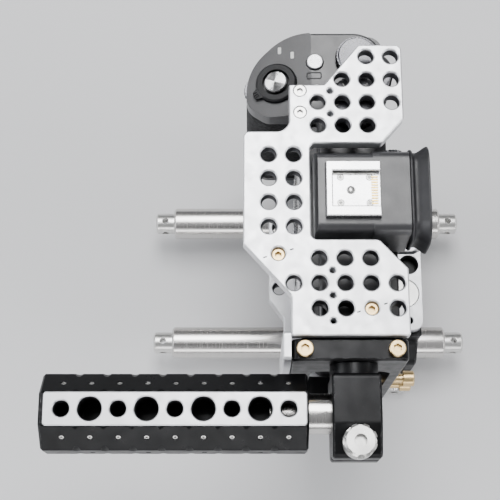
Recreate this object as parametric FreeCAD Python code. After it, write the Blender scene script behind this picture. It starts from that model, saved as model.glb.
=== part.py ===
import FreeCAD, Part
import math
import os

# Cinema camera rig: a mirrorless camera body held in a machined cage, on a clamp block that carries two
# 15 mm rods, with a cheese-plate handle that swivels on the cage's side.
# Millimetres, +Z up. The lens mount faces -Y and the camera's own hand grip is on -X, so "right" is -X.
# The origin is the mouth of the tripod thread in the middle of the rod block's underside. Camera, cage and
# handle are drawn about the lens axis and are set forward on the block by CAMERA_FORWARD when written.

# ---- driving dimensions -------------------------------------------------------------------------------
PITCH = 9.525            # 3/8 inch, the cage's hole pitch
QUARTER_R = 3.0          # 1/4-20 hole, between the thread's crest and root
THREE_EIGHTHS_R = 4.4    # 3/8-16 hole, likewise
M4_R = 1.7               # M4 hole
SLIP = 0.05              # radial clearance of everything that slides or turns
SEAM = 0.15              # gap between neighbouring covers

ROD_R = 7.5              # 15 mm lightweight rods
ROD_SPACING = 60.0
ROD_Z = 18.0
ROD_FRONT, ROD_REAR = -93.8, 36.2
ROD_TIP = 9.0
AXIS_ABOVE_RODS = 85.0   # height of the lens axis above the rods' plane

BLOCK_X, BLOCK_Y = 42.0, 22.0            # half width and half depth of the rod block
CHEESE_T = 6.0
PLATE_Z = ROD_Z + 35.0                   # top of the cheese plates
JAW_SCREW_Y, JAW_SCREW_Z = 13.0, 6.5
BIG_HOLE_X = 0.5                         # row of four 3/8-16 holes in the cheese plate
BIG_HOLES_Y = (-14.9, -4.5, 5.9, 16.3)
FIXINGS_Y = BIG_HOLES_Y[:2]              # the two that hold the cage to the block
CAMERA_FORWARD = 18.0
CAMERA_SCREW_Y = -6.5                    # the camera's tripod screw, in the camera's own coordinates

CAGE_BASE_T = 10.0
BASE = PLATE_Z + CAGE_BASE_T             # underside of the camera
AXIS_Z = ROD_Z + AXIS_ABOVE_RODS         # lens axis
TOP = BASE + 79.0                        # top of the camera's shoulders
HUMP_TOP = TOP + 13.5
CAGE_TOP_LOW, CAGE_TOP_HIGH = 150.0, 156.0
SIDE_IN, SIDE_OUT = 56.0, 64.0           # the cage's side plate
SIDE_FRONT, SIDE_REAR = -23.5, 19.7

RIGHT_END, LEFT_END = -72.4, 54.6        # camera body
FRONT, SPLIT, REAR = -12.0, 1.0, 15.0
GRIP_FRONT = -40.0
GRIP_TOP = 131.0
SKIN_T = 1.5                             # thickness of the grip's rubber
BATTERY = (-62.0, -41.5, -30.0, -11.0)   # x and y limits
PIN_R, KNUCKLE_R = 0.5, 0.95             # hinge pins and knuckles of the battery and card doors
CARD_PIN_Y = -4.0
COVER_LOW = TOP - 3.8                    # underside of the top cover
FLANGE_Y = -19.5
SENSOR_Y = FLANGE_Y + 18.0
SLOPE = 11.0                             # fall of the grip's top, degrees
SLOPE_START_Y = -14.0
SHUTTER_X, SHUTTER_Y = -51.2, -28.0

WHEEL = (-45.5, 96.0)                    # x and z of the control wheel's axis
REAR_BUTTONS = {"menu_button": (38.0, 131.5, 2.9), "playback_button": (-36.5, 77.5, 2.9)}
TOP_BUTTONS = {"c1_button": (-59.4, -12.6), "c2_button": (-46.2, -12.1)}
MODE_DIAL = (-40.5, 2.6, 10.2)           # x and y of the axis, and the radius
EXPOSURE_DIAL = (-60.6, 4.2, 8.4)
FRONT_DIAL, REAR_DIAL = (-50.0, -35.0), (-58.0, 11.8)

SCREEN = (-26.0, 50.0, 70.5, 124.0)      # x and z limits of the tilting screen
ARM_Y, ARM_LOW_Z, ARM_HIGH_Z = 12.6, 72.0, 122.3

HANDLE_X = 82.0
HANDLE_PIVOT_Y, HANDLE_PIVOT_Z = 0.0, 142.0
HANDLE_START = -18.0                     # where the grip begins, along the rod from the clamp's middle
CLAMP_SCREW_X = 12.2
GRIP_LENGTH = 95.0
HANDLE_FLAT = 28.0                       # handle's width across its eight flats
HANDLE_HOLE_PITCH = 10.2

V = FreeCAD.Vector
X, Y, Z = V(1, 0, 0), V(0, 1, 0), V(0, 0, 1)
PLANES = {"xy": (lambda p, w: V(p.x, p.y, w), Z),
          "xz": (lambda p, w: V(p.x, w, p.y), Y),
          "yz": (lambda p, w: V(w, p.x, p.y), X)}


# ---- shape helpers ------------------------------------------------------------------------------------
def box(x0, x1, y0, y1, z0, z1):
    return Part.makeBox(x1 - x0, y1 - y0, z1 - z0, V(x0, y0, z0))


def rod(radius, start, end):
    """A cylinder between two points."""
    run = V(*end) - V(*start)
    return Part.makeCylinder(radius, run.Length, V(*start), run)


def cone(r_start, r_end, start, end):
    run = V(*end) - V(*start)
    return Part.makeCone(r_start, r_end, run.Length, V(*start), run)


def rect(u0, u1, v0, v1, r=0.0):
    return [(u0, v0, r), (u1, v0, r), (u1, v1, r), (u0, v1, r)]


def outline(points, place):
    """A closed wire through (u, v, radius) corners, each rounded to its radius."""
    corners = []
    for i, (u, v, r) in enumerate(points):
        here = V(u, v)
        back = (V(*points[i - 1][:2]) - here).normalize()
        on = (V(*points[(i + 1) % len(points)][:2]) - here).normalize()
        if r <= 0:
            corners.append((here, None, here))
            continue
        half = back.getAngle(on) / 2
        tangent = r / math.tan(half)
        centre = here + (back + on).normalize() * (r / math.sin(half))
        middle = centre + (here - centre).normalize() * r
        corners.append((here + back * tangent, middle, here + on * tangent))
    edges = []
    for i, (start, middle, end) in enumerate(corners):
        if middle is not None:
            edges.append(Part.Arc(place(start), place(middle), place(end)).toShape())
        following = corners[(i + 1) % len(corners)][0]
        if (following - end).Length > 1e-6:
            edges.append(Part.makeLine(place(end), place(following)))
    return Part.Wire(edges)


def prism(points, plane, low, high):
    """The outline in a plane, extruded along that plane's normal from low to high."""
    place, normal = PLANES[plane]
    wire = outline(points, lambda p: place(p, low))
    return Part.Face(wire).extrude(normal * (high - low))


def fuse(shapes):
    return shapes[0].fuse(shapes[1:]).removeSplitter()


def cut(shape, tools):
    return shape.cut(list(tools))


def edges_at(shape, axis, value):
    """The edges that lie wholly in the plane where the coordinate named by axis has that value."""
    low, high = axis + "Min", axis + "Max"
    return [e for e in shape.Edges
            if abs(getattr(e.BoundBox, low) - value) < 1e-3
            and abs(getattr(e.BoundBox, high) - value) < 1e-3]


def break_edges(shape, axis, value, size=0.4):
    """Chamfers every edge in one plane, mouths of holes included."""
    return shape.makeChamfer(size, edges_at(shape, axis, value))


def round_upright(shape, radius, test):
    """Fillets the straight edges that pass a test on their middle point."""
    picked = [e for e in shape.Edges if test(e)]
    return shape.makeFillet(radius, picked)


def holes_z(centres, radius, low, high):
    """Upright drill tools that run 1 mm past both faces."""
    return [rod(radius, (x, y, low - 1), (x, y, high + 1)) for x, y in centres]


def knurled(radius, depth, teeth, low, high):
    """An upright disc about the origin whose rim has straight V ribs."""
    step = math.pi / teeth
    rim = []
    for i in range(2 * teeth):
        r = radius - depth * (i % 2)
        rim.append((r * math.cos(i * step), r * math.sin(i * step), 0))
    return prism(rim, "xy", low, high)


def moved(shape, x=0.0, y=0.0, z=0.0):
    copy = shape.copy()
    copy.translate(V(x, y, z))
    return copy


def turned(shape, axis, degrees, centre=(0, 0, 0)):
    copy = shape.copy()
    copy.rotate(V(*centre), axis, degrees)
    return copy


def cap_screw(head_r, head_t, shank_r, length, socket_r=1.5):
    """An upright socket screw: its head stands on z = 0 and its shank hangs below."""
    head = break_edges(Part.makeCylinder(head_r, head_t), "Z", head_t, min(0.3, head_t / 4))
    hexagon = [(socket_r * math.cos(math.radians(60 * i)), socket_r * math.sin(math.radians(60 * i)), 0)
               for i in range(6)]
    screw = head.fuse([rod(shank_r, (0, 0, -length), (0, 0, 0.01))]).removeSplitter()
    return cut(screw, [prism(hexagon, "xy", head_t * 0.4, head_t + 1)])


def write(node, shapes):
    solids = []
    for shape in shapes if isinstance(shapes, list) else [shapes]:
        solids += shape.Solids
    if not solids or not all(s.isValid() for s in solids):
        raise ValueError("bad solid in " + node)
    whole = solids[0] if len(solids) == 1 else Part.makeCompound(solids)
    whole.exportStep("parts/%s.step" % node)


# ---- rod block, rods and cheese plates ----------------------------------------------------------------
def rod_block():
    profile = [(-BLOCK_X, 0, 1.5), (BLOCK_X, 0, 1.5), (BLOCK_X, 26, 7), (33, 34, 3), (33, 47, 0),
               (-33, 47, 0), (-33, 34, 3), (-BLOCK_X, 26, 7)]
    block = prism(profile, "xz", -BLOCK_Y, BLOCK_Y)
    block = break_edges(break_edges(block, "Y", -BLOCK_Y, 0.8), "Y", BLOCK_Y, 0.8)
    tools = [prism(rect(-17, 17, 12, 40, 5), "xz", -23, 23), rod(THREE_EIGHTHS_R, (0, 0, -1), (0, 0, 13))]
    for side in (-1, 1):
        x = side * ROD_SPACING / 2
        tools.append(rod(ROD_R + SLIP, (x, -23, ROD_Z), (x, 23, ROD_Z)))
        tools.append(box(x - 1, x + 1, -23, 23, -1, ROD_Z - 4))
        outer = sorted((x, side * (BLOCK_X + 1)))
        tools.append(box(outer[0], outer[1], -3.5, 3.5, -1, 30))
        for y in (-JAW_SCREW_Y, JAW_SCREW_Y):
            tools.append(rod(2.5 + SLIP, (side * 19, y, JAW_SCREW_Z), (side * 43, y, JAW_SCREW_Z)))
    tools += [rod(3.4, (BIG_HOLE_X, y, 39), (BIG_HOLE_X, y, 48)) for y in FIXINGS_Y]
    tools += [rod(3.0, (x, y, 41), (x, y, 48)) for x, y in disc_centres()]
    return cut(block, tools)


def disc_centres():
    """Where the four big flush screws stand in the cheese plates."""
    return [(sx * 14.15, 0.8 + sy * 13.2) for sx in (-1, 1) for sy in (-1, 1)]


def small_hole_centres(side):
    """The M4 pattern of one cheese plate: a row of nine, a row of four and three pairs."""
    column = [0.8 + (k - 4.5) * 4.27 for k in range(9)]
    centres = [(side * 26.8, y) for y in column]
    centres += [(side * 21.3, y) for y in column[3:7]]
    centres += [(side * x, y) for x in (16.9, 12.6, 8.4) for y in column[4:6]]
    return centres


def cheese_plate(points, side):
    low, high = PLATE_Z - CHEESE_T, PLATE_Z
    plate = prism(points, "xy", low, high)
    tools = holes_z(small_hole_centres(side), M4_R, low, high)
    if side > 0:
        tools += holes_z([(BIG_HOLE_X, y) for y in BIG_HOLES_Y], THREE_EIGHTHS_R, low, high)
    plate = break_edges(cut(plate, tools), "Z", high, 0.25)
    seats = []
    for x, y in disc_centres():
        if x * side > 0:
            seats += [rod(6.75, (x, y, high - 3.5), (x, y, high + 1)),
                      rod(3.1, (x, y, low - 1), (x, y, high))]
    return cut(plate, seats)


def cheese_plates():
    """Two bright plates on the block's top, parted by a narrow seam that bends at both ends."""
    front, rear = -22.15, 22.15
    right = [(-31.15, front, 1.5), (-2.4, front, 0.4), (-5.9, front + 4.2, 4), (-5.9, rear - 3.5, 4),
             (-8.0, rear, 0.4), (-31.15, rear, 7)]
    left = [(-4.6, front + 4.7, 3.5), (-0.7, front, 1), (31.15, front, 2), (31.15, rear, 4.5),
            (-6.6, rear, 0.4), (-4.6, rear - 3.3, 2.5)]
    return cheese_plate(right, -1), cheese_plate(left, 1)


def rod_parts(side):
    """One rod and the two plugs screwed into its ends."""
    x = side * ROD_SPACING / 2
    tube = rod(ROD_R, (x, ROD_FRONT, ROD_Z), (x, ROD_REAR, ROD_Z))
    tube = break_edges(break_edges(tube, "Y", ROD_FRONT, 0.8), "Y", ROD_REAR, 0.8)
    tube = cut(tube, [rod(5.2, (x, ROD_FRONT - 1, ROD_Z), (x, ROD_REAR + 1, ROD_Z))])
    plugs = []
    for end, out in ((ROD_FRONT, -1), (ROD_REAR, 1)):
        tip = rod(5.0, (x, end, ROD_Z), (x, end + out * ROD_TIP, ROD_Z))
        tip = break_edges(tip, "Y", end + out * ROD_TIP, 0.8)
        plug = fuse([tip, rod(5.15, (x, end - out * 10, ROD_Z), (x, end + out * 0.01, ROD_Z))])
        middle = end + out * ROD_TIP / 2
        tommy = [rod(1.5, (x - 8, middle, ROD_Z), (x + 8, middle, ROD_Z)),
                 rod(1.5, (x, middle, ROD_Z - 8), (x, middle, ROD_Z + 8)),
                 rod(2.2, (x, end + out * 5.5, ROD_Z), (x, end + out * (ROD_TIP + 1), ROD_Z))]
        plugs.append(cut(plug, tommy))
    return tube, plugs


def thumbscrew(shank_length=22.0, shank_r=2.45):
    """A fluted thumbscrew along +X: its shank ends at x = 0 and its head starts at shank_length."""
    head_start = shank_length + 0.2
    head = rod(6.0, (head_start + 1, 0, 0), (head_start + 10, 0, 0))
    head = break_edges(break_edges(head, "X", head_start + 1, 0.6), "X", head_start + 10, 0.9)
    flute = rod(1.5, (head_start + 6, 0, 6.5), (head_start + 11, 0, 6.5))
    flutes = [turned(flute, X, 45 * i) for i in range(8)]
    groove = cut(rod(7, (head_start + 5.6, 0, 0), (head_start + 6.2, 0, 0)),
                 [rod(5.5, (head_start + 5, 0, 0), (head_start + 7, 0, 0))])
    socket = rod(2.2, (head_start + 7, 0, 0), (head_start + 11, 0, 0))
    head = cut(head, flutes + [groove, socket])
    collar = rod(3.8, (head_start, 0, 0), (head_start + 1.01, 0, 0))
    return fuse([head, collar, rod(shank_r, (0, 0, 0), (head_start + 0.5, 0, 0))])


def jaw_thumbscrew(side, y):
    screw = thumbscrew()
    if side < 0:
        screw = turned(screw, Z, 180)
    return moved(screw, side * 20.0, y, JAW_SCREW_Z)


def block_screws():
    """Four flush screws in the cheese plates and two that hold the cage down on them."""
    disc = cap_screw(6.65, 3.4, 2.9, 7.9, 1.3)
    screws = [moved(disc, x, y, PLATE_Z - 3.5) for x, y in disc_centres()]
    fixing = turned(cap_screw(4.7, 4.0, 3.0, PLATE_Z + 7 - 40, 2.4), X, 180)
    return screws + [moved(fixing, BIG_HOLE_X, y, 40) for y in FIXINGS_Y]


# ---- cage ---------------------------------------------------------------------------------------------
def nose_grid():
    return [(-0.6 + (i - 1.5) * PITCH, -31.6 + k * PITCH) for i in range(4) for k in (0, 1)]


def right_grid():
    """Four by four holes over the grip side, less those that the plate's corners cut away."""
    rows = ((0, 1, 2), (0, 1, 2, 3), (1, 2, 3), (2, 3))
    return [(-26.8 - row * PITCH, -12.6 + k * PITCH) for row, columns in enumerate(rows) for k in columns]


def left_grid():
    rows = ((0, 1, 2), (-1, 0, 1, 2, 3), (0, 1, 3))
    return [(26.0 + row * PITCH, -12.9 + k * PITCH) for row, columns in enumerate(rows) for k in columns]


PIN_HOLES = [(-41.0, -7.8), (-31.5, -7.8), (30.7, -8.1), (40.2, -8.1), (49.8, -8.1)]
BRASS_HOLES = [(26.0 + 2 * PITCH, -12.9 + 2 * PITCH), (24.3, -28.1)]
FLUSH_SCREWS = [(-41.0, -19.4), (-32.0, -19.4)]
SIDE_TOP_SCREWS = [(60.0, -18.6), (60.0, 15.0)]
POST_SCREWS_Z = (104.0, 130.0)
CABLE_SCREWS_Z = (91.0, 79.0)
SIDE_SCREWS_Y, SIDE_SCREW_Z = (-12.0, 12.0), 58.0


def cage_top_plate():
    """The perforated top plate, open to the rear around the viewfinder hump."""
    points = [(-43.5, -23.6, 0.8), (-24.2, -23.6, 5), (-24.2, -41.2, 2.5), (20.6, -41.2, 1.5),
              (40.4, -23.4, 1.5), (55.3, -23.4, 0.8), (55.3, 20.0, 0.8), (30.0, 20.0, 1.5),
              (18.8, 9.5, 3), (18.8, -15.9, 2.5), (-19.4, -15.9, 2.5), (-19.4, 11.5, 2),
              (-29.4, 20.3, 1.5), (-60.3, 20.3, 2.5), (-60.3, 3.6, 1.5), (-43.5, -10.0, 0.8)]
    low, high = CAGE_TOP_LOW, CAGE_TOP_HIGH
    plate = prism(points, "xy", low, high)
    tools = holes_z(nose_grid() + right_grid() + left_grid(), QUARTER_R, low, high)
    tools += holes_z(PIN_HOLES, 1.1, low, high) + holes_z(BRASS_HOLES, 2.6, low, high)
    plate = break_edges(break_edges(cut(plate, tools), "Z", high, 0.45), "Z", low, 0.45)
    seats = [rod(2.65, (x, y, high - 2.2), (x, y, high + 1)) for x, y in FLUSH_SCREWS]
    return cut(plate, seats)


def cage_side_plate():
    """The black side plate: a skeleton frame with a flange that reaches in under the top plate."""
    wall = prism(rect(SIDE_FRONT, SIDE_REAR, PLATE_Z, CAGE_TOP_HIGH - 3, 3), "yz", SIDE_IN, SIDE_OUT)
    wall = break_edges(break_edges(wall, "X", SIDE_OUT, 0.8), "X", SIDE_IN, 0.5)
    flange = box(40, SIDE_IN + 1, SIDE_FRONT + 4, SIDE_REAR - 2, CAGE_TOP_LOW - 4.5, CAGE_TOP_LOW)
    plate = fuse([wall, flange])
    window = prism(rect(-15.5, 15.5, 72, 130, 6), "yz", SIDE_IN - 1, SIDE_OUT + 1)
    tools = [window]
    tools += [rod(2.0, (x, y, 128), (x, y, 160)) for x, y in SIDE_TOP_SCREWS]
    tools += [rod(2.6, (x, y, 140), (x, y, 151)) for x, y in BRASS_HOLES[:1]]
    tools += [rod(QUARTER_R, (x, y, 140), (x, y, 151)) for x, y in left_grid() if x > 33]
    tools += [rod(1.1, (x, y, 140), (x, y, 151)) for x, y in PIN_HOLES if x > 39]
    inner, outer = SIDE_IN - 1, SIDE_OUT + 1
    tools.append(rod(2.6, (inner, HANDLE_PIVOT_Y, HANDLE_PIVOT_Z), (outer, HANDLE_PIVOT_Y, HANDLE_PIVOT_Z)))
    for y in SIDE_SCREWS_Y:
        tools += [rod(2.1, (inner, y, SIDE_SCREW_Z), (outer, y, SIDE_SCREW_Z)),
                  rod(4.0, (SIDE_OUT - 4, y, SIDE_SCREW_Z), (outer, y, SIDE_SCREW_Z))]
    tools += [rod(1.6, (60, SIDE_REAR - 10, z), (60, SIDE_REAR + 1, z)) for z in CABLE_SCREWS_Z]
    tools += [rod(1.4, (60, SIDE_FRONT - 1, z), (60, SIDE_FRONT + 6, z)) for z in POST_SCREWS_Z]
    return cut(plate, tools)


def cage_bottom_plate():
    points = [(-38, -24, 3), (-24, -24, 4), (-19, -30, 3), (19, -30, 3), (28, -23.5, 3),
              (SIDE_IN, -23.5, 1), (SIDE_IN, 19.5, 1), (-38, 19.5, 4)]
    low, high = PLATE_Z, BASE
    plate = prism(points, "xy", low, high)
    grid = [(x, k * PITCH) for x in (33.0, 33.0 + PITCH) for k in (-1.5, -0.5, 0.5, 1.5)]
    grid += [(k * PITCH, -25.5) for k in (-1.5, -0.5, 0.5, 1.5)]
    tools = holes_z(grid, QUARTER_R, low, high)
    plate = break_edges(break_edges(cut(plate, tools), "Z", low, 0.45), "Z", high, 0.3)
    fixings = [(BIG_HOLE_X, y + CAMERA_FORWARD) for y in FIXINGS_Y]
    tools = [rod(3.1, (x, y, low - 1), (x, y, low + 7.5)) for x, y in fixings]
    tools += [rod(3.3, (0, CAMERA_SCREW_Y, low - 1), (0, CAMERA_SCREW_Y, high + 1)),
              rod(5.0, (0, CAMERA_SCREW_Y, low - 1), (0, CAMERA_SCREW_Y, low + 5.5))]
    for y in SIDE_SCREWS_Y:
        tools.append(rod(2.0, (SIDE_IN - 9, y, SIDE_SCREW_Z), (SIDE_IN + 1, y, SIDE_SCREW_Z)))
    return cut(plate, tools)


def cage_front_post():
    """The bright upright strip on the front edge of the side plate."""
    strip = prism(rect(53, SIDE_OUT, 97, CAGE_TOP_HIGH - 3, 1.5), "xz", SIDE_FRONT - 3, SIDE_FRONT)
    strip = break_edges(strip, "Y", SIDE_FRONT - 3, 0.4)
    tools = []
    for z in POST_SCREWS_Z:
        tools += [rod(1.6, (60, SIDE_FRONT - 4, z), (60, SIDE_FRONT + 1, z)),
                  rod(2.9, (60, SIDE_FRONT - 4, z), (60, SIDE_FRONT - 1.2, z))]
    return cut(strip, tools)


def cage_screws():
    """Steel screws of the cage: camera, side, strip and flush screws and the handle's pivot screw."""
    camera = turned(cap_screw(4.8, 4.5, 3.1, 9.4, 2.4), X, 180)
    screws = [moved(camera, 0, CAMERA_SCREW_Y, PLATE_Z + 5.4)]
    side = turned(cap_screw(3.8, 3.8, 1.9, 11.8, 1.8), Y, 90)
    screws += [moved(side, SIDE_OUT - 3.95, y, SIDE_SCREW_Z) for y in SIDE_SCREWS_Y]
    strip = turned(cap_screw(2.7, 1.7, 1.3, 6, 1.2), X, 90)
    screws += [moved(strip, 60, SIDE_FRONT - 1.25, z) for z in POST_SCREWS_Z]
    flush = cap_screw(2.55, 2.0, 0.6, 0.1, 1.2)
    screws += [moved(flush, x, y, CAGE_TOP_HIGH - 2.1) for x, y in FLUSH_SCREWS]
    pivot = turned(cap_screw(4.4, 3.6, 2.5, 12.6, 2.0), Y, 90)
    screws.append(moved(pivot, SIDE_OUT + 5.55, HANDLE_PIVOT_Y, HANDLE_PIVOT_Z))
    return screws


def cage_brass_screws():
    """Brass screws: two on the side plate's top edge, two sunk in the top plate and two at the rear."""
    top = cap_screw(3.1, 3.2, 1.9, 18, 1.6)
    screws = [moved(top, x, y, CAGE_TOP_HIGH - 3 + 0.02) for x, y in SIDE_TOP_SCREWS]
    sunk = cap_screw(2.5, 3.5, 1.5, 5, 1.3)
    screws.append(moved(sunk, BRASS_HOLES[0][0], BRASS_HOLES[0][1], CAGE_TOP_LOW + 0.5))
    screws.append(moved(cap_screw(2.5, 3.5, 1.5, 0.4, 1.3), BRASS_HOLES[1][0], BRASS_HOLES[1][1],
                        CAGE_TOP_LOW + 0.5))
    rear = turned(cap_screw(3.2, 4.6, 2.0, 4.9, 1.3), X, -90)
    shank = rod(1.5, (0, -10.8, 0), (0, -4.8, 0))
    for z in CABLE_SCREWS_Z:
        screws.append(moved(fuse([rear, shank]), 60, SIDE_REAR + 5.0, z))
    return screws


# ---- camera body --------------------------------------------------------------------------------------
def grip_footprint(inset=0.0):
    i = inset
    return [(-37 - i, FRONT, 0), (-37 - i, -32 + i, 6), (-42 - i, GRIP_FRONT + i, 7 - i),
            (-58 + i, GRIP_FRONT + i, 22 - i), (RIGHT_END + i, -24 + i, 22 - i), (RIGHT_END + i, FRONT, 0)]


def grip_core(inset, low, high):
    """The grip's outline drawn in by inset, as a solid that reaches 1 mm into the body's front."""
    neck = box(RIGHT_END + inset, -37 - inset, FRONT - 0.01, FRONT + 1, low, high)
    return fuse([prism(grip_footprint(inset), "xy", low, high), neck])


def slope_height(y):
    return TOP - (SLOPE_START_Y - y) * math.tan(math.radians(SLOPE))


def on_slope(shape):
    """Stands a shape made about the origin on the grip's sloping top, at the shutter button."""
    return moved(turned(shape, X, SLOPE), SHUTTER_X, SHUTTER_Y, slope_height(SHUTTER_Y))


def front_shell():
    """The front half of the body: a hollow casting with the battery chamber in the grip."""
    low, high = BASE + 3 + SEAM, COVER_LOW - SEAM
    outer = prism([(LEFT_END, SPLIT, 0), (LEFT_END, FRONT, 7), (RIGHT_END, FRONT, 2.5),
                   (RIGHT_END, SPLIT, 0)], "xy", low, high)
    core = grip_core(SKIN_T, low, GRIP_TOP)
    boss = prism([(-33, 72, 12), (33, 72, 12), (33, high, 0), (-33, high, 0)], "xz", -15.4, FRONT + 1)
    shell = fuse([outer, core, boss])
    cavity = box(RIGHT_END + 2, LEFT_END - 2.2, FRONT + 2.2, SPLIT + 1, low + 2, high + 1)
    x0, x1, y0, y1 = BATTERY
    chamber = prism(rect(x0 - 0.5, x1 + 0.5, y0 - 0.5, y1 + 0.5, 1.5), "xy", low - 1, GRIP_TOP - 2)
    throat = rod(24.2, (0, -20, AXIS_Z), (0, SPLIT + 1, AXIS_Z))
    release = rod(4.1, (29.5, -17, 84), (29.5, -8, 84))
    socket = rod(3.3, (0, CAMERA_SCREW_Y, low - 1), (0, CAMERA_SCREW_Y, low + 2.5))
    ports = prism(rect(-11.9, 14, 76, 128, 2), "yz", LEFT_END - 2.5, LEFT_END + 1)
    card = box(RIGHT_END - 1, RIGHT_END + 2.5, -5.2, SPLIT + 1, 79.8, 122.2)
    screw_holes = [rod(0.9, (24.8 * cx, -17, AXIS_Z + 24.8 * cz), (24.8 * cx, -8, AXIS_Z + 24.8 * cz))
                   for cx, cz in mount_screw_directions()]
    sockets = [card_pin(PIN_R + SLIP, 1.0), socket]
    return cut(shell, [cavity, chamber, throat, release, ports, card] + sockets + screw_holes)


def mount_screw_directions():
    return [(math.cos(math.radians(a)), math.sin(math.radians(a))) for a in (45, 135, 225, 315)]


def rear_shell():
    """The rear half: a hollow casting with the screen's bay, the thumb rest and seats for the controls."""
    low, high = BASE + 3 + SEAM, COVER_LOW - SEAM
    main = prism([(LEFT_END, SPLIT + SEAM, 0), (LEFT_END, REAR, 6), (RIGHT_END, REAR, 6),
                  (RIGHT_END, SPLIT + SEAM, 0)], "xy", low, high)
    rest = prism([(RIGHT_END + 1, REAR - 6, 0), (RIGHT_END + 1, 20.5, 7.5), (-60, 20.5, 5),
                  (-55, REAR - 1, 0)], "xy", 84, 127)
    rest = round_upright(rest, 2.5, lambda e: e.BoundBox.ZLength < 0.01 and e.BoundBox.YMax > REAR + 1)
    shell = fuse([main, rest])
    cavity = box(RIGHT_END + 2, LEFT_END - 2.2, SPLIT - 1, 8.5, low + 2, high + 1)
    x0, x1, z0, z1 = SCREEN
    bay = prism(rect(x0 - 1, x1 + 1, z0 - 2.8, z1 + 2.5, 1.5), "xz", 10.5, REAR + 1)
    tools = [cavity, bay]
    tools.append(prism(rect(-18.8, 17.8, 126.5, high + 1, 2), "xz", 7.5, REAR + 1))
    wheel_x, wheel_z = WHEEL
    tools += [rod(12.3, (wheel_x, 13.4, wheel_z), (wheel_x, 22, wheel_z)),
              rod(4.9, (wheel_x, 11, wheel_z), (wheel_x, 22, wheel_z))]
    for x, z, r in REAR_BUTTONS.values():
        tools.append(rod(r + 0.15, (x, 12.4, z), (x, 22, z)))
    tools.append(rod(7.3, (*REAR_DIAL, 130.2), (*REAR_DIAL, 134.8)))
    tools.append(prism(rect(SPLIT - 1, 14, 76, 128, 2), "yz", LEFT_END - 2.5, LEFT_END + 1))
    tools.append(box(RIGHT_END - 1, RIGHT_END + 2.5, SPLIT - 1, 12.2, 79.8, 122.2))
    shell = cut(shell, tools)
    lugs = []
    for x0, x1 in ((-16, -10.2), (34.2, 40)):
        lug = fuse([rod(1.5, (x0, ARM_Y, ARM_LOW_Z), (x1, ARM_Y, ARM_LOW_Z)),
                    box(x0, x1, 9, ARM_Y, ARM_LOW_Z - 1.5, ARM_LOW_Z + 1.5)])
        lugs.append(cut(lug, [rod(0.8, (x0 - 1, ARM_Y, ARM_LOW_Z), (x1 + 1, ARM_Y, ARM_LOW_Z))]))
    return fuse([shell] + lugs)


def top_cover():
    """The top cover, with the sloping top of the grip and seats for buttons and dials."""
    flat = prism([(LEFT_END, REAR, 6), (LEFT_END, FRONT, 7), (-37, FRONT, 0), (RIGHT_END, FRONT, 0),
                  (RIGHT_END, REAR, 12)], "xy", COVER_LOW, TOP)
    grip = prism(grip_footprint(), "xy", GRIP_TOP + SEAM, TOP)
    drop = slope_height(GRIP_FRONT - 2)
    above = prism([(SLOPE_START_Y, TOP, 0), (SLOPE_START_Y, TOP + 5, 0), (GRIP_FRONT - 2, TOP + 5, 0),
                   (GRIP_FRONT - 2, drop, 0)], "yz", -80, -30)
    grip = cut(grip, [above])
    bridge = box(RIGHT_END, -37, FRONT - 0.01, FRONT + 0.01, COVER_LOW, TOP)
    cover = fuse([flat, grip, bridge])
    cover = cover.makeFillet(1.2, [e for e in edges_at(cover, "Z", TOP) if e.BoundBox.XLength < 200
                                   and not (abs(e.BoundBox.YMax - SLOPE_START_Y) < 0.01
                                            and abs(e.BoundBox.YMin - SLOPE_START_Y) < 0.01)])
    tools = [box(-18.2, 17.2, 7.8, REAR + 1, COVER_LOW - 1, TOP + 1)]
    for x, y in TOP_BUTTONS.values():
        tools.append(rod(3.55, (x, y, TOP - 2.6), (x, y, TOP + 2)))
    for x, y, r in (MODE_DIAL, EXPOSURE_DIAL):
        tools += [rod(r + 0.3, (x, y, TOP - 1.2), (x, y, TOP + 2)), rod(2.1, (x, y, TOP - 5), (x, y, TOP))]
    tools += [on_slope(rod(8.35, (0, 0, -1), (0, 0, 9))), on_slope(rod(1.7, (0, 0, -6.2), (0, 0, 0)))]
    x, y = FRONT_DIAL
    tools.append(rod(6.3, (x, y, 132.5), (x, y, 135.7)))
    tools.append(box(-19, 19, FRONT - 5, 8, TOP - 0.9, TOP + 1))
    return cut(cover, tools)


def bottom_cover():
    """The base cover, open under the battery chamber."""
    low, high = BASE, BASE + 3
    flat = prism([(LEFT_END, REAR, 6), (LEFT_END, FRONT, 7), (-37, FRONT, 0), (RIGHT_END, FRONT, 0),
                  (RIGHT_END, REAR, 6)], "xy", low, high)
    grip = prism(grip_footprint(), "xy", low, high)
    cover = fuse([flat, grip, box(RIGHT_END, -37, FRONT - 0.01, FRONT + 0.01, low, high)])
    door = prism(battery_door_outline(0.2), "xy", low - 1, high + 1)
    return cut(cover, [door, battery_pin(PIN_R + SLIP, 1.2),
                       rod(3.2, (0, CAMERA_SCREW_Y, low - 1), (0, CAMERA_SCREW_Y, high + 1))])


def battery_door_outline(clearance=0.0):
    """The door's outline, round at its free edge and nearly square along its hinge."""
    x0, x1, y0, y1 = BATTERY
    margin = 1.2 + clearance
    free_r, hinge_r = 2.0 + clearance, 0.2 + clearance
    return [(x0 - margin, y0 - margin, free_r), (x1 + margin, y0 - margin, hinge_r),
            (x1 + margin, y1 + margin, hinge_r), (x0 - margin, y1 + margin, free_r)]


def battery_pin(radius, reach):
    """A cylinder on the battery door's hinge axis, reach longer at each end than the door's knuckle."""
    _, x1, y0, y1 = BATTERY
    x, z = x1 + 0.2, BASE + 1.1
    return rod(radius, (x, y0 - 1.2 - reach, z), (x, y1 + 1.2 + reach, z))


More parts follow.
